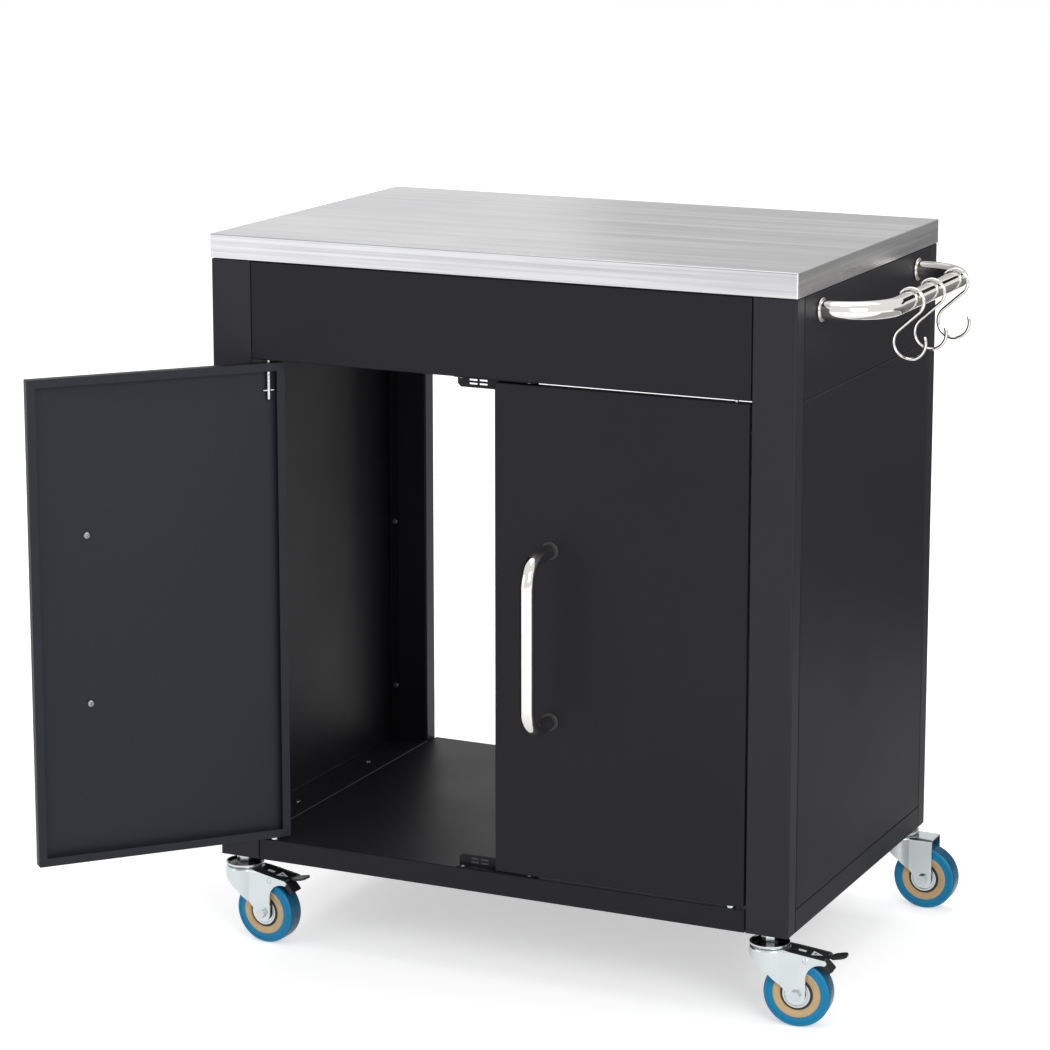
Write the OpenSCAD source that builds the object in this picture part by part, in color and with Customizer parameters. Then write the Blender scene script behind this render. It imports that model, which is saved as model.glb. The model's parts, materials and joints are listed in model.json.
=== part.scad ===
// Kitchen cart: a cabinet of folded steel sheet between four tube posts, with a
// stainless worktop, two pan-shaped doors on sprung hinge pins, a towel bar with
// three S-hooks, and four swivel casters of which the front two have brakes.
// Millimetres, +Z up. The origin is on the floor in the middle of the cabinet's
// footprint, and the front faces -Y.

/* [Cabinet] */
// Width of the cabinet over its posts
cabinet_w = 748; // [680:1:860]
// Depth of the cabinet over its posts
cabinet_d = 488; // [450:1:560]
// Height of the worktop above the floor
overall_h = 880; // [840:1:960]
// Thickness of the folded sheet
sheet_t = 1; // [0.8:0.1:1.2]
// Outside radius of the bends in the sheet
bend_r = 1.8; // [1.5:0.1:2.2]
// Height of the fascias above the door bay
fascia_h = 118.5; // [105:0.5:140]
// Depth of the fascias' folded returns
fascia_return = 20; // [16:1:26]
// Depth of the flange that holds the upper hinge pins
hinge_flange = 36; // [30:1:44]
// Height of the upturned edge behind that flange
flange_lip = 8; // [5:0.5:12]
// Height of the base pan's skirt
base_h = 27; // [24:0.5:32]
// Height of the side rails above the floor sheet
rail_step = 1; // [0.5:0.1:2]
// Gap between a post and the fascia or skirt beside it
seam = 0.8; // [0.5:0.1:0.9]
// Width of the returns round the side panels and under the skirts
panel_return = 12; // [10:0.5:16]

/* [Worktop] */
// Height of the worktop's apron
apron_h = 29; // [24:0.5:36]
// Overhang of the worktop on each side
overhang = 1; // [0.6:0.1:3]
// Dark gap between the apron and the cabinet
shadow_gap = 1.5; // [1:0.1:3]
// Thickness of the stainless sheet
top_t = 1; // [0.8:0.1:1.2]
// Width of the hem folded under the apron
hem_w = 8; // [6:0.5:12]

/* [Posts] */
// Width of a post's front face
post_w = 53; // [48:0.5:60]
// Depth of a post
post_d = 25; // [22:0.5:30]
// Wall of a post's tube
post_wall = 1.2; // [1:0.1:1.5]
// Outside corner radius of a post
post_r = 2.5; // [2:0.1:3]
// Length of the threaded plug inside a post's foot
socket_h = 32; // [30:1:45]

/* [Doors] */
// Depth of a door pan
door_t = 13; // [12:0.5:15]
// Gap above a door
door_gap_top = 3.2; // [3:0.1:4.5]
// Gap below a door
door_gap_bottom = 2.8; // [2.8:0.1:4]
// Gap between a door and its post
door_gap_side = 2; // [1.8:0.1:3]
// Gap between the two doors
door_gap_centre = 3; // [2.8:0.1:5]
// Width of the lip folded behind a door's edges
door_lip = 10; // [8:0.5:12]
// Distance from a door's hinge edge to its pivot
hinge_inset = 18; // [16:0.5:20]
// Angle at which the left door stands open
left_open = 132; // [0:1:138]
// Angle at which the right door stands open
right_open = 0; // [0:1:138]

/* [Door pivots] */
// Diameter of the sprung pin at a door's top
pin_d = 4.5; // [4:0.1:5]
// Engagement of the pin above the fascia's flange
pin_engage = 6; // [4:0.5:8]
// Reach of the pin below the door's top edge
pin_drop = 46; // [42:1:52]
// Diameter of the wire lever through the pin
lever_d = 2; // [1.6:0.1:2.4]
// Distance of the lever below the door's top edge
lever_drop = 34; // [30:1:38]
// Reach of the lever towards the middle of the door
lever_reach = 7; // [5:0.5:9]
// Reach of the lever past the door's hinge edge
lever_poke = 0.8; // [0.2:0.1:1]
// Travel of the pin when the lever is pushed down
pin_travel = 8; // [6.5:0.5:8.5]
// Wire of the spring round the pin
spring_wire = 0.7; // [0.6:0.05:0.8]
// Mean radius of the spring
spring_r = 3.1; // [3:0.05:3.3]
// Curls of the spring
spring_curls = 7; // [5:1:8]
// Diameter of the stud at a door's bottom
stud_d = 5; // [4:0.5:6]
// Height of the stud inside the door
stud_engage = 6; // [4:0.5:9]
// Diameter of the washer under a door
pivot_washer_d = 11; // [9:0.5:12]

/* [Door stops] */
// Width of a door stop across both doors
stop_w = 104; // [90:1:120]
// Height of a door stop's upright
stop_h = 14; // [13:0.5:18]
// Thickness of a door stop
stop_t = 1; // [0.8:0.1:1.2]
// Clearance between a closed door and its stops
stop_gap = 0.3; // [0.2:0.05:0.6]
// Length of a slot in the upright
slot_l = 10.5; // [8:0.5:11]
// Width of a slot
slot_w = 2; // [1.6:0.1:2.4]
// Distance between neighbouring slots' middles
slot_pitch = 13; // [12:0.5:15]
// Distance between the two rows of slots
slot_rise = 4.5; // [4:0.1:5]

/* [Handles] */
// Diameter of a door handle's tube
handle_d = 17; // [14:0.5:19]
// Distance between a handle's two ends
handle_span = 206; // [150:1:260]
// Distance of the grip's axis from the door
handle_stand = 63; // [52:1:80]
// Bend radius of the handle's axis
handle_bend = 32; // [24:1:45]
// Distance of a handle from the door's free edge
handle_inset = 71.5; // [45:0.5:110]
// Diameter of the collar round a handle's end
handle_collar_d = 21.5; // [20:0.5:26]
// Thickness of that collar
handle_collar_t = 2; // [1.5:0.5:4]
// Wall of the handle and towel bar tubes
tube_wall = 1.2; // [1:0.1:1.5]

/* [Towel bar] */
// Diameter of the towel bar's tube
bar_d = 22; // [18:0.5:25]
// Distance between the bar's two ends
bar_span = 336; // [280:1:380]
// Distance of the bar's axis from the side panel
bar_stand = 70; // [62:1:90]
// Bend radius of the bar's axis
bar_bend = 60; // [40:1:60]
// Distance of the bar's axis below the apron
bar_drop = 23; // [20:0.5:60]
// Diameter of the collar at a bar's end
collar_d = 28; // [27:0.5:34]
// Thickness of that collar
collar_t = 3; // [2:0.5:5]

/* [Hooks] */
// Diameter of the hooks' wire
hook_d = 4; // [3:0.5:5]
// Room between the towel bar and the inside of a hook's upper loop
hook_slack = 2.5; // [2.5:0.1:4]
// Height of a hook's lower loop below the bar's axis
hook_drop = 50; // [46:1:70]
// Offset of the lower loop towards the cabinet
hook_offset = 1; // [0:0.5:8]
// Mean radius of the lower loop
hook_loop_r = 19.5; // [16:0.5:20]
// Place of the near hook along the bar
hook_near_y = -59; // [-90:1:-40]
// Place of the middle hook along the bar
hook_middle_y = 16; // [-10:1:40]
// Place of the far hook along the bar
hook_far_y = 103; // [60:1:105]

/* [Casters] */
// Diameter of a wheel
wheel_d = 80; // [74:1:82]
// Width of a wheel
wheel_w = 25; // [22:0.5:26]
// Distance of a wheel's axle behind the swivel axis
trail = 35.5; // [32:0.5:38]
// Height of the fork's plate above the axle
axle_rise = 50.5; // [50:0.5:58]
// Thickness of the fork's pressed sheet
fork_t = 2; // [1.8:0.1:2.5]
// Outside radius of the fork's round hood
hood_r = 24; // [22.5:0.5:26]
// Height of the hood's lower rim below the fork's plate
hood_drop = 7.5; // [5:0.5:10]
// Distance of the front edge's knee behind the swivel axis
knee_x = 4.5; // [2:0.5:8]
// Height of that knee below the fork's plate
knee_drop = 29; // [24:0.5:32]
// Half the width over the fork's legs
leg_y = 17; // [16.5:0.1:19]
// Half the width of a leg seen from the side
leg_r = 11.5; // [10:0.5:12]
// Height of the race dish above the fork
dish_h = 4.5; // [4:0.5:6]
// Height of the hexagon above the dish's rim
hex_h = 9; // [8:0.5:14]
// Width of the hexagon across its flats
hex_af = 17; // [14:0.5:18]
// Turn of the hexagon about its stem
hex_turn = 24; // [-30:1:30]
// Diameter of the stem and the kingpin
stem_d = 10; // [8:0.5:12]
// Length of the stem inside the post
stem_l = 28; // [22:1:30]
// Diameter of the axle bolt
axle_d = 7; // [6:0.5:9]
// Turn of the front left caster
turn_fl = -5; // [-180:1:180]
// Turn of the front right caster
turn_fr = 6; // [-180:1:180]
// Turn of the rear left caster
turn_rl = 0; // [-180:1:180]
// Turn of the rear right caster
turn_rr = 0; // [-180:1:180]

/* [Wheels] */
// Radius at which the tread meets the core
core_r = 28.6; // [26:0.1:31]
// Radius of the recess round a bearing
recess_r = 19.7; // [18.5:0.1:21]
// Radius of a bearing
bearing_r = 17.4; // [15:0.1:18]
// Width of a bearing
bearing_w = 7; // [6:0.5:8]
// Radius of the tread's shoulders
tread_r = 4; // [3:0.1:5]

/* [Brakes] */
// Distance of the pedal's rivet behind the axle
rivet_dx = 11.5; // [9:0.5:13]
// Height of the pedal's rivet above the axle
rivet_dz = 42.5; // [42:0.5:45]
// Diameter of the rivet's shank
rivet_d = 5; // [4:0.5:6]
// Gap between the released shoe and the tread
shoe_gap = 5.4; // [5.2:0.1:7]
// Half the width of the brake shoe
shoe_y = 9; // [6:0.5:11]
// Length of the pedal's thumb plate
tip_l = 19; // [15:0.5:22]
// Width of that plate
tip_w = 19; // [15:0.5:22]

/* [Hidden] */

// Overshoot of a cut past the face that it opens
cut = 1;
// Radial clearance of a turning or sliding fit
run_fit = 0.08;
// Radial clearance of a fixed fit
fixed_fit = 0.05;
// Gap between faces that pass each other
face_gap = 0.3;

front_y = -cabinet_d / 2;
side_x = cabinet_w / 2;
bay_w = cabinet_w - 2 * post_w;
bay_d = cabinet_d - 2 * post_d;
post_x = side_x - post_w / 2;
post_y = cabinet_d / 2 - post_d / 2;
frame_top = overall_h - apron_h - shadow_gap;
fascia_z = frame_top - fascia_h;
fork_top = wheel_d / 2 + axle_rise + fork_t;
caster_h = fork_top + dish_h + hex_h;
floor_z = caster_h + base_h;
rail_top = floor_z + rail_step;
panel_mid = (rail_top + fascia_z) / 2;

door_w = bay_w / 2 - door_gap_side - door_gap_centre / 2;
door_z = floor_z + door_gap_bottom;
door_h = fascia_z - door_gap_top - door_z;
pivot_x = bay_w / 2 - door_gap_side - hinge_inset;
pivot_y = front_y + door_t / 2;
handle_x = door_w - hinge_inset - handle_inset;
lever_z = door_h - lever_drop;

bar_z = overall_h - apron_h - bar_drop;
bar_x = side_x + bar_stand;
tube_plug = 12;
hook_r = bar_d / 2 + hook_slack + hook_d / 2;
// Swelling of the rounded ends of the hooks' wire
hook_bulge = 0.1;

// Screws: shank radius, length, head radius and head height
small_screw = [2, 8, 4, 1.6];
stop_screw = [1.5, 6, 3.2, 1.1];
handle_screw = [2, 10, 4.6, 3];
bar_screw = [3, 14, 6.5, 3.6];
// Distance of a side panel's outer screws from its ends
screw_inset = 72;
// Distance of a rail's screws from the middle of the rail
rail_screw_y = 96;

// Plan and profile shapes

// Rectangle about the origin with corners rounded to r
module round_rect(w, d, r) {
    square([w - 2 * r, d], center = true);
    square([w, d - 2 * r], center = true);
    for (x = [-1, 1], y = [-1, 1])
        translate([x * (w / 2 - r), y * (d / 2 - r)])
            circle(r = r, $fn = 48);
}

// Rectangle that stands on the X axis, with its upper corners rounded to r
module arch(w, h, r) {
    translate([-w / 2, 0]) square([w, h - r]);
    translate([-w / 2 + r, 0]) square([w - 2 * r, h]);
    for (x = [-1, 1])
        translate([x * (w / 2 - r), h - r])
            circle(r = r, $fn = 48);
}

// Block w by d by h whose upper edges and upright corners are rounded to r
module pan_block(w, d, h, r) {
    intersection() {
        linear_extrude(h) round_rect(w, d, r);
        translate([0, d / 2, 0])
            rotate([90, 0, 0])
                linear_extrude(d) arch(w, h, r);
        translate([-w / 2, 0, 0])
            rotate([90, 0, 90])
                linear_extrude(w) arch(d, h, r);
    }
}

// Folded pan of sheet t, open below
module pan(w, d, h, r, t) {
    difference() {
        pan_block(w, d, h, r);
        translate([0, 0, -cut])
            pan_block(w - 2 * t, d - 2 * t, h - t + cut, r - t);
    }
}

// Flat frame of width lip round the inside of a w by d outline
module lip_frame(w, d, r, t, lip) {
    linear_extrude(t)
        difference() {
            round_rect(w, d, r);
            square([w - 2 * lip, d - 2 * lip], center = true);
        }
}

// Collar of diameter d and thickness t that stands on z = 0, round a tube of diameter tube
module collar(d, t, tube) {
    rotate_extrude($fn = 64)
        difference() {
            translate([0, t / 2]) round_rect(d, t, t / 3);
            square([tube + 2 * fixed_fit, 4 * t], center = true);
            translate([-d, -t]) square([d, 3 * t]);
        }
}

// Low dome of radius r and height h
module dome(r, h) {
    cap_r = (r * r + h * h) / (2 * h);
    rotate_extrude($fn = 48)
        intersection() {
            square([r, h]);
            translate([0, h - cap_r]) circle(r = cap_r, $fn = 96);
        }
}

// Screw s = [shank radius, length, head radius, head height], head towards +Z
module screw(s) {
    translate([0, 0, -s[1]]) cylinder(r = s[0], h = s[1], $fn = 32);
    dome(s[2], s[3]);
}

// Hole for screw s through a sheet of thickness t under its head
module screw_hole(s, t) {
    translate([0, 0, -t - cut])
        cylinder(r = s[0] + fixed_fit, h = t + 2 * cut, $fn = 32);
}

// Tube axis that leaves x = 0 along +X, bends twice and returns: a solid rod
module u_rod(span, stand, bend, r, extra) {
    for (s = [-1, 1]) {
        translate([-extra, s * span / 2, 0])
            rotate([0, 90, 0])
                cylinder(r = r, h = stand - bend + extra, $fn = 64);
        translate([stand - bend, s * (span / 2 - bend), 0])
            rotate([0, 0, s > 0 ? 0 : -90])
                rotate_extrude(angle = 90, $fn = 96)
                    translate([bend, 0]) circle(r = r, $fn = 64);
    }
    translate([stand, 0, 0])
        rotate([90, 0, 0])
            cylinder(r = r, h = span - 2 * bend, center = true, $fn = 64);
}

// Bent tube whose ends are plugged and tapped for a screw of radius screw_r
module u_tube(span, stand, bend, r, wall, screw_r) {
    difference() {
        u_rod(span, stand, bend, r, 0);
        difference() {
            u_rod(span, stand, bend, r - wall, cut);
            translate([-2 * cut, -span, -r])
                cube([tube_plug + 2 * cut, 2 * span, 2 * r]);
        }
        for (s = [-1, 1])
            translate([-cut, s * span / 2, 0])
                rotate([0, 90, 0])
                    cylinder(r = screw_r + fixed_fit, h = tube_plug + 2 * cut, $fn = 32);
    }
}

// Worktop

module worktop_sheet() {
    w = cabinet_w + 2 * overhang;
    d = cabinet_d + 2 * overhang;
    color("silver")
        translate([0, 0, overall_h - apron_h]) {
            pan(w, d, apron_h, bend_r, top_t);
            lip_frame(w, d, bend_r, top_t, hem_w);
        }
}

// Board under the sheet, with a step that drops through the hem onto the frame
module worktop_core() {
    w = cabinet_w + 2 * overhang;
    d = cabinet_d + 2 * overhang;
    board_h = apron_h - 2 * top_t;
    color("peru") {
        translate([0, 0, overall_h - apron_h + top_t])
            pan_block(w - 2 * top_t, d - 2 * top_t, board_h, bend_r - top_t);
        translate([0, 0, frame_top])
            linear_extrude(shadow_gap + 2 * top_t)
                square([w - 2 * hem_w, d - 2 * hem_w], center = true);
    }
}

// Cabinet

// Fascia pan with its face at the front
module fascia_pan() {
    translate([0, front_y + fascia_return, fascia_z + fascia_h / 2])
        rotate([90, 0, 0])
            pan(bay_w - 2 * seam, fascia_h, fascia_return, bend_r, sheet_t);
}

module front_fascia() {
    w = bay_w - 2 * seam;
    color("dimgray")
        difference() {
            union() {
                fascia_pan();
                translate([-w / 2, front_y + bend_r, fascia_z])
                    cube([w, hinge_flange - bend_r, sheet_t]);
                translate([-w / 2, front_y + hinge_flange - sheet_t, fascia_z])
                    cube([w, sheet_t, flange_lip]);
            }
            for (s = [-1, 1])
                translate([s * pivot_x, pivot_y, fascia_z - cut])
                    cylinder(r = pin_d / 2 + run_fit, h = sheet_t + 2 * cut, $fn = 48);
            stop_places() mirror([0, 0, 1]) screw_hole(stop_screw, stop_t + sheet_t);
        }
}

module rear_fascia() {
    color("dimgray") mirror([0, 1, 0]) fascia_pan();
}

// Places of the side panels' screws on one post side: x is the side, y the end
module panel_screw_places(x, y) {
    heights = [
        rail_top + screw_inset, panel_mid, fascia_z - screw_inset,
        (fascia_z + frame_top) / 2
    ];
    for (z = heights)
        translate([x * (side_x - panel_return * 0.6), y * (bay_d / 2 - sheet_t), z])
            rotate([y * 90, 0, 0])
                children();
}

// Places of a rail's screws
module rail_screw_places(x) {
    for (y = [-1, 1])
        translate([x * post_x, y * rail_screw_y, rail_top]) children();
}

module post(x, y) {
    color("dimgray")
        difference() {
            translate([x * post_x, y * post_y, caster_h])
                linear_extrude(frame_top - caster_h)
                    difference() {
                        round_rect(post_w, post_d, post_r);
                        round_rect(post_w - 2 * post_wall, post_d - 2 * post_wall, post_r - post_wall);
                    }
            panel_screw_places(x, y) screw_hole(small_screw, sheet_t + post_wall);
        }
}

module side_panel(x, z0, z1, bored) {
    color("dimgray")
        difference() {
            mirror([x < 0 ? 1 : 0, 0, 0])
                translate([side_x - panel_return, 0, (z0 + z1) / 2])
                    rotate([90, 0, 90])
                        pan(bay_d, z1 - z0, panel_return, bend_r, sheet_t);
            for (y = [-1, 1]) {
                panel_screw_places(x, y) screw_hole(small_screw, sheet_t);
                if (bored)
                    translate([side_x - sheet_t, y * bar_span / 2, bar_z])
                        rotate([0, -90, 0])
                            screw_hole(bar_screw, sheet_t);
            }
        }
}

module base_pan() {
    w = bay_w - 2 * seam;
    color("dimgray")
        difference() {
            union() {
                translate([0, 0, caster_h]) pan(w, cabinet_d, base_h, bend_r, sheet_t);
                for (y = [-1, 1])
                    translate([0, y * (cabinet_d / 2 - bend_r / 2 - panel_return / 2), caster_h])
                        translate([-w / 2 + bend_r, -panel_return / 2, 0])
                            cube([w - 2 * bend_r, panel_return, sheet_t]);
            }
            for (s = [-1, 1])
                translate([s * pivot_x, pivot_y, floor_z - sheet_t - cut])
                    cylinder(r = stud_d / 2 + fixed_fit, h = sheet_t + 2 * cut, $fn = 48);
            stop_places() translate([0, 0, floor_z - fascia_z]) screw_hole(stop_screw, stop_t + sheet_t);
        }
}

// Channel between two posts that carries a lower side panel
module base_rail(x) {
    w = post_w + seam;
    h = base_h + rail_step;
    color("dimgray")
        difference() {
            translate([x * (side_x - w / 2), bay_d / 2, caster_h])
                rotate([90, 0, 0])
                    linear_extrude(bay_d)
                        difference() {
                            arch(w, h, bend_r);
                            translate([0, -cut])
                                arch(w - 2 * sheet_t, h - sheet_t + cut, bend_r - sheet_t);
                        }
            rail_screw_places(x) screw_hole(small_screw, sheet_t);
        }
}

// Places of the door stops' screws, on the fascia's flange
module stop_places() {
    for (s = [-1, 1])
        translate([s * (stop_w / 2 - 8), front_y + door_t / 2, fascia_z]) children();
}

// Angle plate behind the doors' meeting edges, hung from z = 0 with its upright down
module door_stop() {
    upright_y = front_y + door_t + stop_gap;
    chamfer = 4;
    foot_y = front_y + 3;
    difference() {
        union() {
            translate([-stop_w / 2, foot_y, -stop_t])
                cube([stop_w, upright_y - foot_y + stop_t, stop_t]);
            translate([0, upright_y + stop_t, 0])
                rotate([90, 0, 0])
                    linear_extrude(stop_t)
                        polygon([
                            [-stop_w / 2, 0], [-stop_w / 2, chamfer - stop_h],
                            [chamfer - stop_w / 2, -stop_h], [stop_w / 2 - chamfer, -stop_h],
                            [stop_w / 2, chamfer - stop_h], [stop_w / 2, 0]
                        ]);
        }
        for (s = [-1, 1], column = [-0.5, 0.5], row = [0, 1])
            translate([
                s * (stop_w / 4 - 0.8) + column * slot_pitch,
                upright_y - cut,
                -(stop_h - slot_rise) / 2 - row * slot_rise
            ])
                rotate([-90, 0, 0])
                    linear_extrude(stop_t + 2 * cut)
                        round_rect(slot_l, slot_w, slot_w / 2 - fixed_fit);
        translate([0, 0, -fascia_z])
            stop_places() mirror([0, 0, 1]) screw_hole(stop_screw, stop_t);
    }
}

module door_stop_upper() {
    color("dimgray") translate([0, 0, fascia_z]) door_stop();
}

module door_stop_lower() {
    color("dimgray") translate([0, 0, floor_z]) mirror([0, 0, 1]) door_stop();
}

module panel_screws() {
    color("silver") {
        for (x = [-1, 1]) {
            for (y = [-1, 1])
                panel_screw_places(x, y) screw(small_screw);
            rail_screw_places(x) screw(small_screw);
        }
        stop_places() translate([0, 0, -stop_t]) mirror([0, 0, 1]) screw(stop_screw);
        stop_places() translate([0, 0, floor_z - fascia_z + stop_t]) screw(stop_screw);
    }
}

// Towel bar and hooks

module towel_bar() {
    color("gainsboro")
        translate([side_x, 0, bar_z])
            u_tube(bar_span, bar_stand, bar_bend, bar_d / 2, tube_wall, bar_screw[0]);
}

// Collars round the bar's ends, and the screws that hold it from inside
module towel_bar_fixings() {
    color("silver")
        for (y = [-1, 1])
            translate([side_x, y * bar_span / 2, bar_z])
                rotate([0, 90, 0]) {
                    collar(collar_d, collar_t, bar_d);
                    translate([0, 0, -sheet_t]) mirror([0, 0, 1]) screw(bar_screw);
                }
}

// Wire bent to radius r in the XY plane, from +X through the angle sweep, with a ball end
module wire_bend(r, sweep) {
    rotate_extrude(angle = sweep, $fn = 96)
        translate([r, 0]) circle(r = hook_d / 2, $fn = 32);
    rotate([0, 0, sweep])
        translate([r, 0, 0]) sphere(r = hook_d / 2 + hook_bulge, $fn = 32);
}

// S-shaped hook that hangs on the bar, with the bar's axis at the origin
module s_hook() {
    rise = bar_d / 2 + face_gap + hook_d / 2 - hook_r;
    lower = [-hook_offset, -hook_drop - rise];
    reach = norm(lower);
    // The straight shank is the inner tangent of both loops
    lean = atan2(lower[1], lower[0]) + acos((hook_r + hook_loop_r) / reach);
    shank = sqrt(reach * reach - pow(hook_r + hook_loop_r, 2));
    upper_end = 178;
    lower_end = 383;
    translate([0, 0, rise])
        rotate([90, 0, 0])
            rotate([0, 0, lean - 90]) {
                rotate([0, 0, 90]) wire_bend(hook_r, upper_end - lean);
                translate([0, hook_r, 0])
                    rotate([0, 90, 0])
                        cylinder(r = hook_d / 2, h = shank, $fn = 32);
                translate([shank, hook_r + hook_loop_r, 0])
                    rotate([0, 0, -90]) wire_bend(hook_loop_r, lower_end - 180 - lean);
            }
}

module hook_at(y) {
    color("gainsboro") translate([bar_x, y, bar_z]) s_hook();
}

// Doors: shared shapes have the pivot at the origin, the free edge towards +X,
// the face towards -Y and the bottom edge at z = 0

module at_door(side) {
    translate([side * pivot_x, pivot_y, door_z])
        rotate([0, 0, side < 0 ? -left_open : right_open])
            mirror([side > 0 ? 1 : 0, 0, 0])
                children();
}

module at_handle_ends() {
    for (z = [-1, 1])
        translate([handle_x, -door_t / 2, door_h / 2 + z * handle_span / 2])
            rotate([90, 0, 0])
                children();
}

module door_leaf() {
    slot_play = lever_d / 2 + 0.2;
    difference() {
        translate([door_w / 2 - hinge_inset, door_t / 2, door_h / 2])
            rotate([90, 0, 0]) {
                pan(door_w, door_h, door_t, bend_r, sheet_t);
                lip_frame(door_w, door_h, bend_r, sheet_t, door_lip);
            }
        translate([0, 0, door_h - sheet_t - cut])
            cylinder(r = pin_d / 2 + run_fit, h = sheet_t + 2 * cut, $fn = 48);
        translate([0, 0, -cut])
            cylinder(r = stud_d / 2 + run_fit, h = sheet_t + 2 * cut, $fn = 48);
        translate([-hinge_inset - cut, -slot_play, lever_z - pin_travel - slot_play])
            cube([sheet_t + 2 * cut, 2 * slot_play, pin_travel + 2 * slot_play]);
        at_handle_ends() screw_hole(handle_screw, sheet_t);
    }
}

module door(side) {
    color("dimgray") at_door(side) door_leaf();
}

module handle(side) {
    color("gainsboro")
        at_door(side)
            translate([handle_x, -door_t / 2, door_h / 2])
                rotate([90, 0, -90])
                    u_tube(handle_span, handle_stand, handle_bend, handle_d / 2, tube_wall, handle_screw[0]);
}

// Collars round a handle's ends, and screws from inside the door
module handle_fixings(side) {
    color("silver")
        at_door(side)
            at_handle_ends() {
                collar(handle_collar_d, handle_collar_t, handle_d);
                translate([0, 0, -sheet_t]) mirror([0, 0, 1]) screw(handle_screw);
            }
}

// Sprung pin with a wire lever through it
module hinge_pin(side) {
    tip = door_h + door_gap_top + pin_engage;
    foot = door_h - pin_drop;
    round_r = pin_d / 2;
    color("silver")
        at_door(side) {
            difference() {
                union() {
                    translate([0, 0, foot + round_r])
                        cylinder(r = round_r, h = tip - foot - 2 * round_r, $fn = 48);
                    for (z = [foot + round_r, tip - round_r])
                        translate([0, 0, z]) sphere(r = round_r, $fn = 48);
                }
                translate([0, 0, lever_z])
                    rotate([0, 90, 0])
                        cylinder(r = lever_d / 2 + fixed_fit, h = 2 * pin_d, center = true, $fn = 32);
            }
            translate([-hinge_inset - lever_poke, 0, lever_z])
                rotate([0, 90, 0])
                    cylinder(r = lever_d / 2, h = hinge_inset + lever_poke + lever_reach, $fn = 32);
        }
}

// Points along the spring's wire: straight up from the lever, curls, and straight up to the door's top
spring_low = lever_z + lever_d / 2 + 0.02;
spring_high = door_h - sheet_t - 0.02;
spring_steps = 8 * spring_curls;
spring_rise = spring_high - spring_low - 2 * spring_wire;
function spring_turn(i) = [
    spring_r * cos(360 * i / 8), spring_r * sin(360 * i / 8),
    spring_low + spring_wire + spring_rise * i / spring_steps
];
spring_path = concat(
    [[spring_r, 0, spring_low]],
    [for (i = [0:spring_steps]) spring_turn(i)],
    [[spring_r, 0, spring_high]]
);
// Least gap between one curl and the next, measured between all points a curl or more apart
spring_gap = min([
    for (i = [1:len(spring_path) - 2], j = [i + 7:len(spring_path) - 2])
        if (j > i + 6) norm(spring_path[i] - spring_path[j]) - spring_wire
]);
echo(spring_gap = spring_gap);

function unit(v) = v / norm(v);
function spring_ring(i) =
    let (
        p = spring_path[i],
        last = len(spring_path) - 1,
        t = i == 0 || i == last ? [0, 0, 1] : unit(spring_path[i + 1] - spring_path[i - 1]),
        n0 = unit([p[0], p[1], 0]),
        b = unit(cross(t, n0)),
        n = cross(b, t)
    )
    [for (k = [0:5]) p + spring_wire / 2 * (cos(60 * k) * n + sin(60 * k) * b)];

// Spring round the pin, one tube of six sides
module hinge_spring(side) {
    count = len(spring_path);
    points = [for (i = [0:count - 1]) each spring_ring(i)];
    sides = [
        for (i = [0:count - 2], k = [0:5])
            let (a = 6 * i + k, b = 6 * i + (k + 1) % 6)
                each [[a, a + 6, b], [b, a + 6, b + 6]]
    ];
    start = [for (k = [1:4]) [0, k, k + 1]];
    end = [for (k = [1:4]) [6 * count - 6, 6 * count - 6 + k + 1, 6 * count - 6 + k]];
    color("silver")
        at_door(side)
            polyhedron(points = points, faces = concat(sides, start, end), convexity = 10);
}

// Studs that the doors turn on, each fixed in the floor sheet with a washer on it
module door_pivot_studs() {
    head_h = 1.5;
    color("silver")
        for (s = [-1, 1])
            translate([s * pivot_x, pivot_y, floor_z]) {
                translate([0, 0, -sheet_t])
                    cylinder(r = stud_d / 2, h = sheet_t + door_gap_bottom + stud_engage, $fn = 48);
                translate([0, 0, -sheet_t - head_h])
                    cylinder(r = stud_d, h = head_h, $fn = 48);
                difference() {
                    cylinder(r = pivot_washer_d / 2, h = door_gap_bottom - face_gap, $fn = 48);
                    translate([0, 0, -cut])
                        cylinder(r = stud_d / 2 + fixed_fit, h = door_gap_bottom + 2 * cut, $fn = 48);
                }
            }
}

// Casters: shared shapes have the swivel axis at the origin, the floor at z = 0
// and the wheel trailing towards +X

axle_z = wheel_d / 2;
hood_low = fork_top - hood_drop;
dish_r = hood_r - 0.2;
dish_t = 1.5;
dish_floor = fork_top + face_gap + dish_t;
shoulder_r = 3;
rivet_x = trail + rivet_dx;
rivet_z = axle_z + rivet_dz;
tail_end_r = 3.3;
tail_x = rivet_x + 21.2;
tail_z = rivet_z - 0.3;
arch_r = 18.3;

module at_caster(x, y, turn) {
    translate([x * post_x, y * post_y, 0])
        rotate([0, 0, turn])
            children();
}

// Threaded plugs in the posts' feet
module stem_sockets() {
    color("darkgray")
        for (x = [-1, 1], y = [-1, 1])
            translate([x * post_x, y * post_y, caster_h])
                difference() {
                    linear_extrude(socket_h)
                        round_rect(post_w - 2 * post_wall, post_d - 2 * post_wall, post_r - post_wall);
                    translate([0, 0, -cut])
                        cylinder(r = stem_d / 2 + fixed_fit, h = socket_h + 2 * cut, $fn = 48);
                }
}

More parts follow.
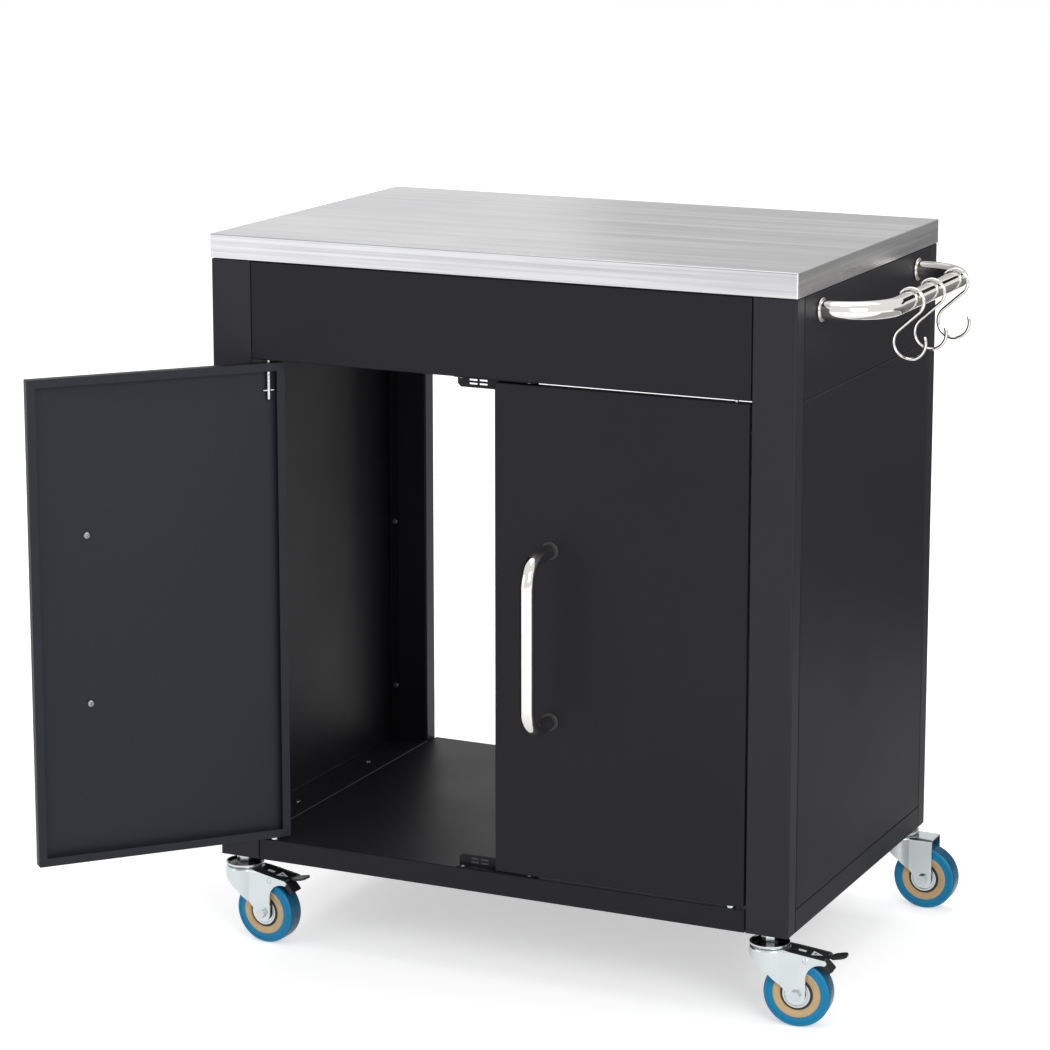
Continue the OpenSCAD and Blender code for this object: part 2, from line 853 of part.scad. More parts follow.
// Stem with its hexagon, and the kingpin below it with a riveted head
module caster_stems() {
    head_h = 4;
    plate_under = fork_top - fork_t - face_gap;
    color("silver")
        for (x = [-1, 1], y = [-1, 1])
            at_caster(x, y, 0) {
                translate([0, 0, plate_under - head_h])
                    cylinder(r = stem_d / 2, h = caster_h + stem_l - plate_under + head_h, $fn = 48);
                translate([0, 0, plate_under - head_h])
                    cylinder(r = stem_d * 0.8, h = head_h, $fn = 48);
                translate([0, 0, dish_floor])
                    rotate([0, 0, hex_turn])
                        cylinder(r = hex_af / sqrt(3), h = caster_h - dish_floor, $fn = 6);
            }
}

// Dish over each fork's ball race, open upwards
module caster_races() {
    rim_z = fork_top + dish_h;
    color("silver")
        for (x = [-1, 1], y = [-1, 1])
            at_caster(x, y, 0)
                rotate_extrude($fn = 96)
                    difference() {
                        polygon([
                            [stem_d / 2 + fixed_fit, fork_top + face_gap], [dish_r - 2, fork_top + face_gap],
                            [dish_r, fork_top + face_gap + 2], [dish_r, rim_z],
                            [stem_d / 2 + fixed_fit, rim_z]
                        ]);
                        polygon([
                            [0, dish_floor], [dish_r - 5, dish_floor],
                            [dish_r - dish_t, rim_z - 0.6], [dish_r - dish_t + 0.4, rim_z + cut],
                            [0, rim_z + cut]
                        ]);
                    }
}

// Round part of the fork's hood, a solid of revolution with a rounded shoulder
module hood_solid(r, top, shoulder) {
    rotate_extrude($fn = 96) {
        square([r - shoulder, top]);
        square([r, top - shoulder]);
        translate([r - shoulder, top - shoulder])
            intersection() {
                circle(r = shoulder, $fn = 48);
                square(2 * shoulder);
            }
    }
}

// Side outline of the fork: hood, front edge with its knee, leg and, with a brake, tail
module fork_side(brake) {
    leg_front = trail - leg_r;
    leg_back = trail + leg_r;
    tail_top = tail_z + tail_end_r;
    arch_z = rivet_z - 21.5;
    slope_x = 19;
    hood = [
        [-hood_r - cut, fork_top + cut], [-hood_r - cut, hood_low + cut],
        [knee_x, fork_top - knee_drop], [leg_front, axle_z + 3]
    ];
    leg = [[leg_front, axle_z], [leg_back, axle_z]];
    plain = [[leg_back, fork_top + cut]];
    tail = [
        [leg_back, arch_z], [tail_x, arch_z], [tail_x, tail_top],
        [slope_x, fork_top], [slope_x, fork_top + cut]
    ];
    difference() {
        union() {
            polygon(concat(hood, leg, brake ? tail : plain));
            translate([trail, axle_z]) circle(r = leg_r, $fn = 96);
            if (brake)
                translate([tail_x, tail_z]) circle(r = tail_end_r, $fn = 48);
        }
        if (brake)
            translate([leg_back + arch_r, arch_z]) circle(r = arch_r, $fn = 96);
    }
}

// Pressed fork: round hood and two legs, cut to the side outline
module fork(brake) {
    inner_y = leg_y - fork_t;
    reach = tail_x + tail_end_r + cut;
    difference() {
        intersection() {
            difference() {
                union() {
                    hood_solid(hood_r, fork_top, shoulder_r);
                    rotate([90, 0, 90]) linear_extrude(reach) arch(2 * leg_y, fork_top, shoulder_r);
                }
                translate([0, 0, -cut])
                    hood_solid(hood_r - fork_t, fork_top - fork_t + cut, shoulder_r - fork_t);
                translate([0, 0, -cut])
                    rotate([90, 0, 90])
                        linear_extrude(reach + cut)
                            arch(2 * inner_y, fork_top - fork_t + cut, shoulder_r - fork_t);
            }
            translate([0, hood_r + cut, 0])
                rotate([90, 0, 0])
                    linear_extrude(2 * hood_r + 2 * cut) fork_side(brake);
        }
        cylinder(r = stem_d / 2 + run_fit, h = fork_top + cut, $fn = 48);
        translate([trail, 0, axle_z])
            rotate([90, 0, 0])
                cylinder(r = axle_d / 2 + fixed_fit, h = 3 * leg_y, center = true, $fn = 48);
        if (brake) {
            translate([rivet_x, 0, rivet_z])
                rotate([90, 0, 0])
                    cylinder(r = rivet_d / 2 + fixed_fit, h = 3 * leg_y, center = true, $fn = 48);
            difference() {
                translate([0, -inner_y, fork_top - 2 * fork_t])
                    cube([reach, 2 * inner_y, 3 * fork_t]);
                cylinder(r = hood_r, h = 2 * fork_top, $fn = 96);
            }
        }
    }
}

module fork_at(x, y, turn, brake) {
    color("gainsboro") at_caster(x, y, turn) fork(brake);
}

// Axle bolt with its nut and spacers, and with a brake the pedal's rivet
module axle_set(x, y, turn, brake) {
    inner_y = leg_y - fork_t;
    nut_h = 5;
    spacer_w = inner_y - wheel_w / 2 - face_gap;
    color("silver")
        at_caster(x, y, turn) {
            translate([trail, 0, axle_z])
                rotate([90, 0, 0]) {
                    cylinder(r = axle_d / 2, h = 2 * leg_y + 2 * nut_h - 2, center = true, $fn = 48);
                    translate([0, 0, leg_y]) cylinder(r = axle_d * 0.93, h = nut_h, $fn = 6);
                    translate([0, 0, -leg_y - 3.2]) cylinder(r = axle_d * 0.9, h = 3.2, $fn = 48);
                    for (s = [-1, 1])
                        translate([0, 0, s * (inner_y - spacer_w / 2)])
                            difference() {
                                cylinder(r = axle_d * 0.8, h = spacer_w, center = true, $fn = 48);
                                cylinder(r = axle_d / 2 + fixed_fit, h = 2 * spacer_w, center = true, $fn = 48);
                            }
                }
            if (brake)
                translate([rivet_x, 0, rivet_z])
                    rotate([90, 0, 0]) {
                        cylinder(r = rivet_d / 2, h = 2 * leg_y, center = true, $fn = 48);
                        for (s = [0, 1])
                            mirror([0, 0, s])
                                translate([0, 0, leg_y]) dome(rivet_d * 0.75, 1.4);
                    }
        }
}

// Turned shape about the wheel's axle, from its half profile
module about_axle(x, y, turn) {
    at_caster(x, y, turn)
        translate([trail, 0, axle_z])
            rotate([90, 0, 0])
                rotate_extrude($fn = 96)
                    children();
}

module wheel_tread(x, y, turn) {
    seat = core_r + fixed_fit;
    color("steelblue")
        about_axle(x, y, turn) {
            difference() {
                round_rect(wheel_d, wheel_w, tread_r);
                translate([-wheel_d, -wheel_w]) square([wheel_d + seat, 2 * wheel_w]);
            }
        }
}

module wheel_core(x, y, turn) {
    half = wheel_w / 2 - 0.4;
    web = half - bearing_w;
    recess = 2.2;
    color("burlywood")
        about_axle(x, y, turn)
            difference() {
                translate([axle_d, -half]) square([core_r - axle_d, 2 * half]);
                for (s = [0, 1])
                    mirror([0, s]) {
                        translate([0, web]) square([bearing_r + fixed_fit, wheel_w]);
                        translate([0, half - recess]) square([recess_r, wheel_w]);
                    }
            }
}

// One ball bearing in each face of the wheel, with its pressed cap
module hub_bearings(x, y, turn) {
    half = wheel_w / 2;
    web = half - 0.4 - bearing_w;
    color("silver")
        at_caster(x, y, turn)
            translate([trail, 0, axle_z])
                rotate([90, 0, 0])
                    for (s = [0, 1])
                        mirror([0, 0, s])
                            rotate_extrude($fn = 96)
                                difference() {
                                    translate([axle_d / 2 + run_fit, web])
                                        square([bearing_r - axle_d / 2 - run_fit, half - web]);
                                    translate([bearing_r - 1, half]) circle(r = 1, $fn = 32);
                                    translate([bearing_r * 0.62, half]) circle(r = 0.7, $fn = 32);
                                }
}

// Pedal: plate, ears on the rivet, shoe, neck and thumb tip
module brake_pedal(x, y, turn) {
    ear_y = leg_y - fork_t - face_gap;
    ear_t = 1.5;
    plate_t = 1.8;
    slope = atan2(fork_top - tail_z - tail_end_r, tail_x - 19);
    front_r = hood_r + 0.9;
    tip_r = 6;
    tip_rise = 12;
    shoe_t = 6;
    shoe_from = 36;
    shoe_to = 61;
    // The web stands on the shoe's upper end
    web_x = trail + (axle_z + shoe_gap + shoe_t / 2) * cos(shoe_to) - 1;
    web_z = axle_z + (axle_z + shoe_gap + shoe_t / 2) * sin(shoe_to) - 2;
    color("dimgray")
        at_caster(x, y, turn)
            difference() {
                union() {
                    // Plate, level with the legs' sloping top edges
                    difference() {
                        translate([19, 0, fork_top - 0.3])
                            rotate([0, slope, 0])
                                translate([-4, -ear_y, -plate_t])
                                    cube([tail_x - 14, 2 * ear_y, plate_t]);
                        cylinder(r = front_r, h = 2 * fork_top, $fn = 96);
                    }
                    // Ears
                    for (s = [-1, 1])
                        translate([0, s * (ear_y - ear_t / 2) + ear_t / 2, 0])
                            rotate([90, 0, 0])
                                linear_extrude(ear_t) {
                                    translate([rivet_x, rivet_z]) circle(r = 4.6, $fn = 48);
                                    translate([rivet_x - 4.6, rivet_z]) square([9.2, 4.6]);
                                }
                    // Shoe curved round the tread, and the web that holds it
                    translate([trail, 0, axle_z])
                        rotate([90, 0, 0])
                            rotate([0, 0, shoe_from])
                                rotate_extrude(angle = shoe_to - shoe_from, $fn = 96)
                                    translate([axle_z + shoe_gap, -shoe_y])
                                        square([shoe_t, 2 * shoe_y]);
                    translate([web_x, -shoe_y * 0.7, web_z])
                        cube([5, 1.4 * shoe_y, fork_top - 0.3 - (web_x + 5 - 19) * tan(slope) - 0.9 - web_z]);
                    // Neck and thumb tip
                    translate([tail_x + 1, 0, tail_z + tail_end_r - 2.2])
                        rotate([0, -tip_rise, 0]) {
                            translate([-3, -3.5, 0]) cube([10, 7, plate_t]);
                            translate([5 + tip_l / 2, 0, 0])
                                linear_extrude(plate_t + 0.6)
                                    round_rect(tip_l, tip_w, tip_r);
                        }
                }
                translate([rivet_x, 0, rivet_z])
                    rotate([90, 0, 0])
                        cylinder(r = rivet_d / 2 + run_fit, h = 3 * leg_y, center = true, $fn = 48);
            }
}

worktop_sheet();
worktop_core();
front_fascia();
rear_fascia();
post(-1, -1);  // post_front_left
post(1, -1);  // post_front_right
post(-1, 1);  // post_rear_left
post(1, 1);  // post_rear_right
side_panel(-1, fascia_z, frame_top, false);  // side_panel_upper_left
side_panel(1, fascia_z, frame_top, true);  // side_panel_upper_right
side_panel(-1, rail_top, fascia_z, false);  // side_panel_lower_left
side_panel(1, rail_top, fascia_z, false);  // side_panel_lower_right
base_pan();
base_rail(-1);  // base_rail_left
base_rail(1);  // base_rail_right
door_stop_upper();
door_stop_lower();
panel_screws();
towel_bar();
towel_bar_fixings();
stem_sockets();
caster_stems();
caster_races();
door_pivot_studs();
door(-1);  // door_left
door(1);  // door_right
handle(-1);  // handle_left
handle(1);  // handle_right
handle_fixings(-1);  // handle_fixings_left
handle_fixings(1);  // handle_fixings_right
hinge_pin(-1);  // hinge_pin_left
hinge_pin(1);  // hinge_pin_right
hinge_spring(-1);  // hinge_spring_left
hinge_spring(1);  // hinge_spring_right
fork_at(-1, -1, turn_fl, true);  // fork_fl
fork_at(1, -1, turn_fr, true);  // fork_fr
fork_at(-1, 1, turn_rl, false);  // fork_rl
fork_at(1, 1, turn_rr, false);  // fork_rr
axle_set(-1, -1, turn_fl, true);  // axle_set_fl
axle_set(1, -1, turn_fr, true);  // axle_set_fr
axle_set(-1, 1, turn_rl, false);  // axle_set_rl
axle_set(1, 1, turn_rr, false);  // axle_set_rr
wheel_core(-1, -1, turn_fl);  // wheel_core_fl
wheel_core(1, -1, turn_fr);  // wheel_core_fr
wheel_core(-1, 1, turn_rl);  // wheel_core_rl
wheel_core(1, 1, turn_rr);  // wheel_core_rr
wheel_tread(-1, -1, turn_fl);  // wheel_tread_fl
wheel_tread(1, -1, turn_fr);  // wheel_tread_fr
wheel_tread(-1, 1, turn_rl);  // wheel_tread_rl
wheel_tread(1, 1, turn_rr);  // wheel_tread_rr
hub_bearings(-1, -1, turn_fl);  // hub_bearings_fl
hub_bearings(1, -1, turn_fr);  // hub_bearings_fr
hub_bearings(-1, 1, turn_rl);  // hub_bearings_rl
hub_bearings(1, 1, turn_rr);  // hub_bearings_rr
brake_pedal(-1, -1, turn_fl);  // brake_pedal_fl
brake_pedal(1, -1, turn_fr);  // brake_pedal_fr
hook_at(hook_near_y);  // hook_near
hook_at(hook_middle_y);  // hook_middle
hook_at(hook_far_y);  // hook_far
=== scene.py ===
"""Looks of a steel kitchen cart: its finishes, its turned and bent pieces, and a pale studio."""

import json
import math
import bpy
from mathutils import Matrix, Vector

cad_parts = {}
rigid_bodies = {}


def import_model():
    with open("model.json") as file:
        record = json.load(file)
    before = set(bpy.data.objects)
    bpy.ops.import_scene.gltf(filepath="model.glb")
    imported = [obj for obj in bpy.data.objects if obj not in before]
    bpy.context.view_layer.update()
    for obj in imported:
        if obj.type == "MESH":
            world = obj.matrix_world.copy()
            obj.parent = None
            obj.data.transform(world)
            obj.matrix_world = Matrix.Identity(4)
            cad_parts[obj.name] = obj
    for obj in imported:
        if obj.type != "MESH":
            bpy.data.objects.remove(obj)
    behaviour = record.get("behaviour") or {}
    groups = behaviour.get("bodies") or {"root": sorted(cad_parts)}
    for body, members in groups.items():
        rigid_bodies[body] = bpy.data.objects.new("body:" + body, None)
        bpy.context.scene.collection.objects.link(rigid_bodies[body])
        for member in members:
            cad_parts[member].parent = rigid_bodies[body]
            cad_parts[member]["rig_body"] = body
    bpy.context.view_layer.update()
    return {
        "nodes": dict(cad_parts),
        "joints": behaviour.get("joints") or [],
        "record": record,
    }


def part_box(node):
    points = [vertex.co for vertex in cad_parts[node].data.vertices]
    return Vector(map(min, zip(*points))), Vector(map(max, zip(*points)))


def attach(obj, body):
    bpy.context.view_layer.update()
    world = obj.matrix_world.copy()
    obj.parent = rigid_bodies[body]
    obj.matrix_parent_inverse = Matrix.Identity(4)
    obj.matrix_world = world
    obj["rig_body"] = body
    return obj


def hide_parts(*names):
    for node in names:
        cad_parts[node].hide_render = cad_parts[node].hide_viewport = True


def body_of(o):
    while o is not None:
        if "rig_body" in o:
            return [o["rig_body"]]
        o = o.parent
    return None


bl_info = {
    "name": "Kitchen Cart Workshop",
    "version": (1, 0, 0),
    "blender": (4, 5, 0),
    "location": "3D View > Sidebar > Kitchen Cart",
    "description": "Models a kitchen cart's bright pieces, finishes its sheets and sets up a studio",
    "category": "Object",
}

import bpy
from bpy.props import FloatProperty, FloatVectorProperty, IntProperty, PointerProperty
from mathutils import Matrix, Vector

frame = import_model()
NODES = frame["nodes"]
JOINTS = {joint["name"]: joint for joint in frame["joints"]}


def opened_door():
    """The turn from a shut left door to the door as it stands open at rest."""
    hinge = JOINTS["door_left_hinge"]
    pivot = Vector(hinge["pos_m"])
    angle = math.radians(hinge["range_deg"][0])
    return Matrix.Translation(pivot) @ Matrix.Rotation(angle, 4, "Z") @ Matrix.Translation(-pivot)


# Materials

class Nodes:
    """Adds and joins the nodes of a tree."""

    def __init__(self, tree):
        self.tree = tree

    def node(self, kind, **values):
        made = self.tree.nodes.new(kind)
        for key, value in values.items():
            setattr(made, key, value)
        return made

    def link(self, start, end):
        self.tree.links.new(start, end)

    def maths(self, operation, *sources):
        made = self.node("ShaderNodeMath", operation=operation)
        for source, socket in zip(sources, made.inputs):
            self.link(source, socket)
        return made.outputs["Value"]

    def spread(self, source, low, high, start=0.3, end=0.7):
        """Values between start and end become values between low and high."""
        made = self.node("ShaderNodeMapRange")
        for name, value in (("From Min", start), ("From Max", end), ("To Min", low), ("To Max", high)):
            made.inputs[name].default_value = value
        self.link(source, made.inputs["Value"])
        return made.outputs["Result"]

    def seen_directly(self):
        """1 for the rays that see the surroundings directly, in metal or through glass."""
        path = self.node("ShaderNodeLightPath")
        total = path.outputs["Is Camera Ray"]
        for name in ("Is Glossy Ray", "Is Transmission Ray"):
            total = self.maths("MAXIMUM", total, path.outputs[name])
        return total


class Finish(Nodes):
    """A node material that is built up from its shader towards its pattern."""

    def __init__(self, name):
        self.material = bpy.data.materials.new(name)
        self.material.use_nodes = True
        super().__init__(self.material.node_tree)
        self.shader = self.tree.nodes["Principled BSDF"]
        self.place = self.node("ShaderNodeTexCoord")

    def coordinates(self, stretch=(1, 1, 1)):
        mapping = self.node("ShaderNodeMapping")
        mapping.inputs["Scale"].default_value = stretch
        self.link(self.place.outputs["Object"], mapping.inputs["Vector"])
        return mapping.outputs["Vector"]

    def parts(self, output):
        """The X, Y and Z of the place on the piece (Object) or of its surface's direction (Normal)."""
        split = self.node("ShaderNodeSeparateXYZ")
        self.link(self.place.outputs[output], split.inputs["Vector"])
        return split.outputs

    def noise(self, scale, detail=2.0, stretch=(1, 1, 1), rough=0.5):
        made = self.node("ShaderNodeTexNoise")
        made.inputs["Scale"].default_value = scale
        made.inputs["Detail"].default_value = detail
        made.inputs["Roughness"].default_value = rough
        self.link(self.coordinates(stretch), made.inputs["Vector"])
        return made.outputs["Fac"]

    def ramp(self, source, stops):
        """Colours along a source: pairs of position and colour."""
        made = self.node("ShaderNodeValToRGB")
        elements = made.color_ramp.elements
        while len(elements) < len(stops):
            elements.new(0.5)
        for element, (position, colour) in zip(elements, stops):
            element.position = position
            element.color = (*colour, 1.0)
        self.link(source, made.inputs["Fac"])
        return made.outputs["Color"]

    def greys(self, source, *stops):
        """Greys along a source: pairs of position and level."""
        return self.ramp(source, [(position, (level, level, level)) for position, level in stops])

    def tones(self, source, colour, low, high, start=0.3, end=0.7):
        """One colour from a darker to a lighter tone between start and end."""
        return self.ramp(source, [(start, shade(colour, low)), (end, shade(colour, high))])

    def mixed(self, first, second, share, **kind):
        made = self.node("ShaderNodeMix", **kind)
        if isinstance(share, float):
            made.inputs["Factor"].default_value = share
        else:
            self.link(share, made.inputs["Factor"])
        self.link(first, made.inputs["A"])
        self.link(second, made.inputs["B"])
        return made.outputs["Result"]

    def choose(self, share, first, second):
        return self.mixed(first, second, share, data_type="FLOAT")

    def blend(self, share, first, second):
        return self.mixed(first, second, share, data_type="RGBA")

    def times(self, first, second, share=1.0):
        return self.mixed(first, second, share, data_type="RGBA", blend_type="MULTIPLY")

    def bump(self, source, strength, distance, under=None):
        made = self.node("ShaderNodeBump")
        made.inputs["Strength"].default_value = strength
        made.inputs["Distance"].default_value = distance
        self.link(source, made.inputs["Height"])
        if under is not None:
            self.link(under, made.inputs["Normal"])
        return made.outputs["Normal"]

    def set(self, **values):
        for key, value in values.items():
            self.shader.inputs[key.replace("_", " ")].default_value = value

    def drive(self, socket, source):
        self.link(source, self.shader.inputs[socket])

    def show(self, shader):
        """Let another shader's output stand for the whole material."""
        self.link(shader, self.tree.nodes["Material Output"].inputs["Surface"])


def shade(colour, factor):
    return tuple(c * factor for c in colour[:3])


# how much lighter and bluer each colour is painted inside the left door: painted light
INSIDE_PAINTED_LIGHT = (2.2, 2.45, 2.3)


def powder_coat(colours, name="black_powder_coat", tone=1.0, gloss=0.18, inside=None):
    """Satin black powder coat: fine orange peel, a trace of speckle and slow variations of gloss.

    Faces that look along inside are painted lighter and bluer: painted light."""
    f = Finish(name)
    speck = f.noise(1700, 2.0)
    cloud = f.noise(3.5, 3.0)
    coat = f.tones(speck, shade(colours.powder, tone), 0.8, 1.35, 0.35, 0.72)
    # painted light: faces that look along inside are made lighter and bluer
    if inside is not None:
        facing = f.node("ShaderNodeVectorMath", operation="DOT_PRODUCT")
        facing.inputs[1].default_value = inside
        f.link(f.place.outputs["Normal"], facing.inputs[0])
        coat = f.times(coat, f.ramp(facing.outputs["Value"], [(0.88, (1, 1, 1)), (0.96, INSIDE_PAINTED_LIGHT)]))
    f.drive("Base Color", coat)
    f.drive("Roughness", f.spread(cloud, 0.42, 0.52))
    peel = f.bump(f.noise(900, 2.0), 0.12, 0.0002)
    f.drive("Normal", f.bump(speck, 0.10, 0.0001, peel))
    f.set(Specular_IOR_Level=gloss)
    return f.material


def stainless(colours):
    """Stainless sheet brushed along each face, with bands and faint clouds, painted shade on its folds and a
    painted highlight on its corners.
    """
    f = Finish("brushed_stainless")
    facing = f.parts("Normal")
    to_end = f.maths("ABSOLUTE", facing["X"])
    upright = f.maths("ABSOLUTE", facing["Z"])
    to_corner = f.maths("MULTIPLY", to_end, f.maths("ABSOLUTE", facing["Y"]))

    # the brushing runs along X on the top and the long sides, and along Y on the ends
    ends = f.spread(to_end, 0.0, 1.0, 0.5, 0.6)
    grain = f.choose(ends, f.noise(1.0, 3.0, (2.2, 900, 900), 0.65), f.noise(1.0, 3.0, (900, 2.2, 900), 0.65))
    band = f.choose(ends, f.noise(1.0, 3.0, (0.9, 55, 55), 0.6), f.noise(1.0, 2.0, (60, 2.0, 90), 0.5))
    line = f.choose(ends, f.noise(1.0, 4.0, (1.6, 230, 230), 0.7), f.noise(1.0, 4.0, (230, 3.0, 230), 0.7))

    sheet = f.times(f.tones(grain, colours.stainless, 0.88, 1.12), f.greys(line, (0.30, 0.84), (0.62, 1.06)))
    sheet = f.times(sheet, f.greys(band, (0.28, 0.86), (0.72, 1.0)))
    sheet = f.times(sheet, f.ramp(f.noise(6.0, 3.0), [(0.30, (0.90, 0.90, 0.905)), (0.70, (1, 1, 1))]))
    # painted shade on the folds, whose faces tilt between level and upright, and a painted highlight on the
    # corners
    fold = f.greys(upright, (0.06, 1.0), (0.14, 0.66), (0.60, 0.66), (0.80, 1.0))
    painted_corner_highlight = f.greys(to_corner, (0.10, 1.0), (0.30, 1.3))
    f.drive("Base Color", f.times(f.times(sheet, fold), painted_corner_highlight))
    f.drive("Roughness", f.spread(band, 0.26, 0.40))
    f.drive("Normal", f.bump(grain, 0.16, 0.0002))
    f.set(Metallic=1.0)
    return f.material


def chrome(colours):
    """Polished chrome plate with a faint haze."""
    f = Finish("polished_chrome")
    haze = f.noise(45, 3.0)
    f.drive("Base Color", f.tones(haze, colours.chrome, 0.96, 1.02))
    f.drive("Roughness", f.spread(haze, 0.05, 0.10))
    f.set(Metallic=1.0)
    return f.material


def zinc(colours, name, factor, rough):
    """Bright zinc plate: cloudy passivation over a finely drawn sheet."""
    f = Finish(name)
    cloud = f.noise(40, 3.0)
    f.drive("Base Color", f.tones(cloud, shade(colours.zinc, factor), 0.96, 1.03))
    f.drive("Roughness", f.spread(cloud, rough, rough + 0.05))
    f.drive("Normal", f.bump(f.noise(900, 2.0), 0.02, 0.0001))
    f.set(Metallic=1.0)
    return f.material


def moulded(name, colour, rough, coat=0.0, gloss=0.5):
    """Moulded plastic with slow colour and gloss changes and a fine skin."""
    f = Finish(name)
    cloud = f.noise(70, 3.0)
    f.drive("Base Color", f.tones(cloud, colour, 0.93, 1.06))
    f.drive("Roughness", f.spread(cloud, rough, rough + 0.08))
    f.drive("Normal", f.bump(f.noise(1100, 2.0), 0.06, 0.0001))
    f.set(Coat_Weight=coat, Coat_Roughness=0.05, Specular_IOR_Level=gloss)
    return f.material


def tread(colours):
    """Elastic tread: clear blue faces, and a rolling face that is greyer and scuffed."""
    f = Finish("blue_tread")
    face = f.tones(f.noise(60, 3.0), colours.tread, 0.94, 1.06)
    scuffs = f.noise(260, 4.0, (1, 1, 1), 0.65)
    rolling = f.tones(scuffs, colours.tread_rolling, 1.0, 1.6, 0.35, 0.68)
    # the wheels' axles lie along Y at rest
    rolls = f.spread(f.maths("ABSOLUTE", f.parts("Normal")["Y"]), 1.0, 0.0, 0.45, 0.62)
    f.drive("Base Color", f.blend(rolls, face, rolling))
    f.drive("Roughness", f.spread(scuffs, 0.24, 0.36))
    f.drive("Normal", f.bump(scuffs, 0.05, 0.0002))
    f.set(Coat_Weight=0.06, Coat_Roughness=0.05, Specular_IOR_Level=0.22)
    return f.material


def board(colours):
    """Raw particle board: pale and dark chips."""
    f = Finish("particle_board")
    cell = f.node("ShaderNodeTexVoronoi")
    cell.inputs["Scale"].default_value = 420
    f.link(f.coordinates((1, 1, 2.2)), cell.inputs["Vector"])
    chips = f.noise(160, 4.0)
    f.drive("Base Color", f.times(f.tones(chips, colours.board, 0.7, 1.15), cell.outputs["Color"], 0.35))
    f.drive("Normal", f.bump(chips, 0.3, 0.0004))
    f.set(Roughness=0.85)
    return f.material


FINISH_OF_SLOT = {}


def make_finishes(colours):
    FINISH_OF_SLOT.update({
        "black_powder_coat": powder_coat(colours),
        "brushed_stainless": stainless(colours),
        "polished_chrome": chrome(colours),
        "zinc_plate": zinc(colours, "zinc_plate", 0.95, 0.16),
        "bright_zinc": zinc(colours, "bright_zinc", 1.0, 0.20),
        "board": board(colours),
        "dark_plastic": moulded("dark_plastic", (0.02, 0.02, 0.02), 0.5),
        "tan_plastic": moulded("tan_plastic", colours.wheel_core, 0.32, 0.2),
        "blue_tread": tread(colours),
        "black_pedal": moulded("black_pedal", colours.pedal, 0.26, gloss=0.3),
    })


def screw_finish(colours):
    """Screw heads of zinc plate that is darker and rougher."""
    return zinc(colours, "dull_zinc", 0.42, 0.30)


def print_finish(colours):
    """White paint of the pedals' marks."""
    return moulded("white_print", colours.marks, 0.4)


# height of the races' bright rims
RIM = 0.0009


def race_finish(colours):
    """Zinc plate whose dish below its rim is painted dark: painted shade and a painted dark reflection of the
    post above.
    """
    f = Finish("greased_zinc")
    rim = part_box("caster_races")[1].z - RIM
    below = f.spread(f.parts("Object")["Z"], 1.0, 0.0, rim - 0.0001, rim)
    upwards = f.spread(f.parts("Normal")["Z"], 0.0, 1.0, 0.3, 0.5)
    cloud = f.noise(60, 3.0)
    plate = f.tones(cloud, colours.zinc, 0.92, 1.04)
    # painted shade and dark reflection on the dish's upward faces below the rim
    painted_dark_dish = f.ramp(cloud, [(0.3, (0.012, 0.013, 0.014)), (0.7, (0.03, 0.03, 0.032))])
    f.drive("Base Color", f.blend(f.maths("MULTIPLY", below, upwards), plate, painted_dark_dish))
    f.drive("Roughness", f.spread(cloud, 0.16, 0.24))
    f.set(Metallic=1.0)
    return f.material


# Modelling steps that the pieces share

def deselect():
    bpy.ops.object.select_all(action="DESELECT")


def pick(piece, domain, test):
    """In object mode, select the faces, edges or vertices for which the test holds, and nothing else."""
    mesh = piece.data
    for items in (mesh.vertices, mesh.edges, mesh.polygons):
        items.foreach_set("select", [False] * len(items))
    if domain == "FACE":
        for face in mesh.polygons:
            face.select = test(face.center, face.normal)
    elif domain == "EDGE":
        for edge in mesh.edges:
            a, b = (mesh.vertices[i].co for i in edge.vertices)
            edge.select = test((a + b) / 2, b - a)
    else:
        for vertex in mesh.vertices:
            vertex.select = test(vertex.co)


def edit(domain="FACE"):
    bpy.ops.object.mode_set(mode="EDIT")
    bpy.ops.mesh.select_mode(type=domain)


def edit_all(domain="FACE"):
    """Edit with everything selected."""
    edit(domain)
    bpy.ops.mesh.select_all(action="SELECT")


def leave():
    bpy.ops.object.mode_set(mode="OBJECT")


def edit_picked(piece, domain, test):
    """Edit with only what passes the test selected."""
    edit(domain)
    leave()
    pick(piece, domain, test)
    bpy.ops.object.mode_set(mode="EDIT")


def activate(piece):
    deselect()
    piece.select_set(True)
    bpy.context.view_layer.objects.active = piece


def apply_place(piece):
    activate(piece)
    bpy.ops.object.transform_apply(location=True, rotation=True, scale=True)


def soften(piece, width):
    """Bevel the sharp edges and apply the modifier."""
    activate(piece)
    bevel = piece.modifiers.new("edges", "BEVEL")
    bevel.width = width
    bevel.segments = 2
    bevel.limit_method = "ANGLE"
    bevel.angle_limit = math.radians(35)
    bevel.harden_normals = False
    bpy.ops.object.modifier_apply(modifier=bevel.name)


# points closer than this are one point
MERGE = 1e-6


def recalculate(piece):
    """Merge doubles and point the faces outwards."""
    activate(piece)
    edit_all("VERT")
    bpy.ops.mesh.remove_doubles(threshold=MERGE)
    bpy.ops.mesh.normals_make_consistent(inside=False)
    leave()


def hand_over(piece, name, body, slot, smooth=35, finish=None):
    """Put the piece at the origin with its finish, riding on its body."""
    apply_place(piece)
    bpy.ops.object.shade_smooth_by_angle(angle=math.radians(smooth))
    piece.name = name
    piece.data.name = name
    piece.data.materials.clear()
    piece.data.materials.append(finish or FINISH_OF_SLOT[slot])
    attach(piece, body)


def copied(piece, matrix):
    """A copy with its own mesh, moved by a matrix."""
    copy = piece.copy()
    copy.data = piece.data.copy()
    bpy.context.scene.collection.objects.link(copy)
    copy.matrix_world = matrix @ piece.matrix_world
    return copy


def drop(piece):
    bpy.data.objects.remove(piece)


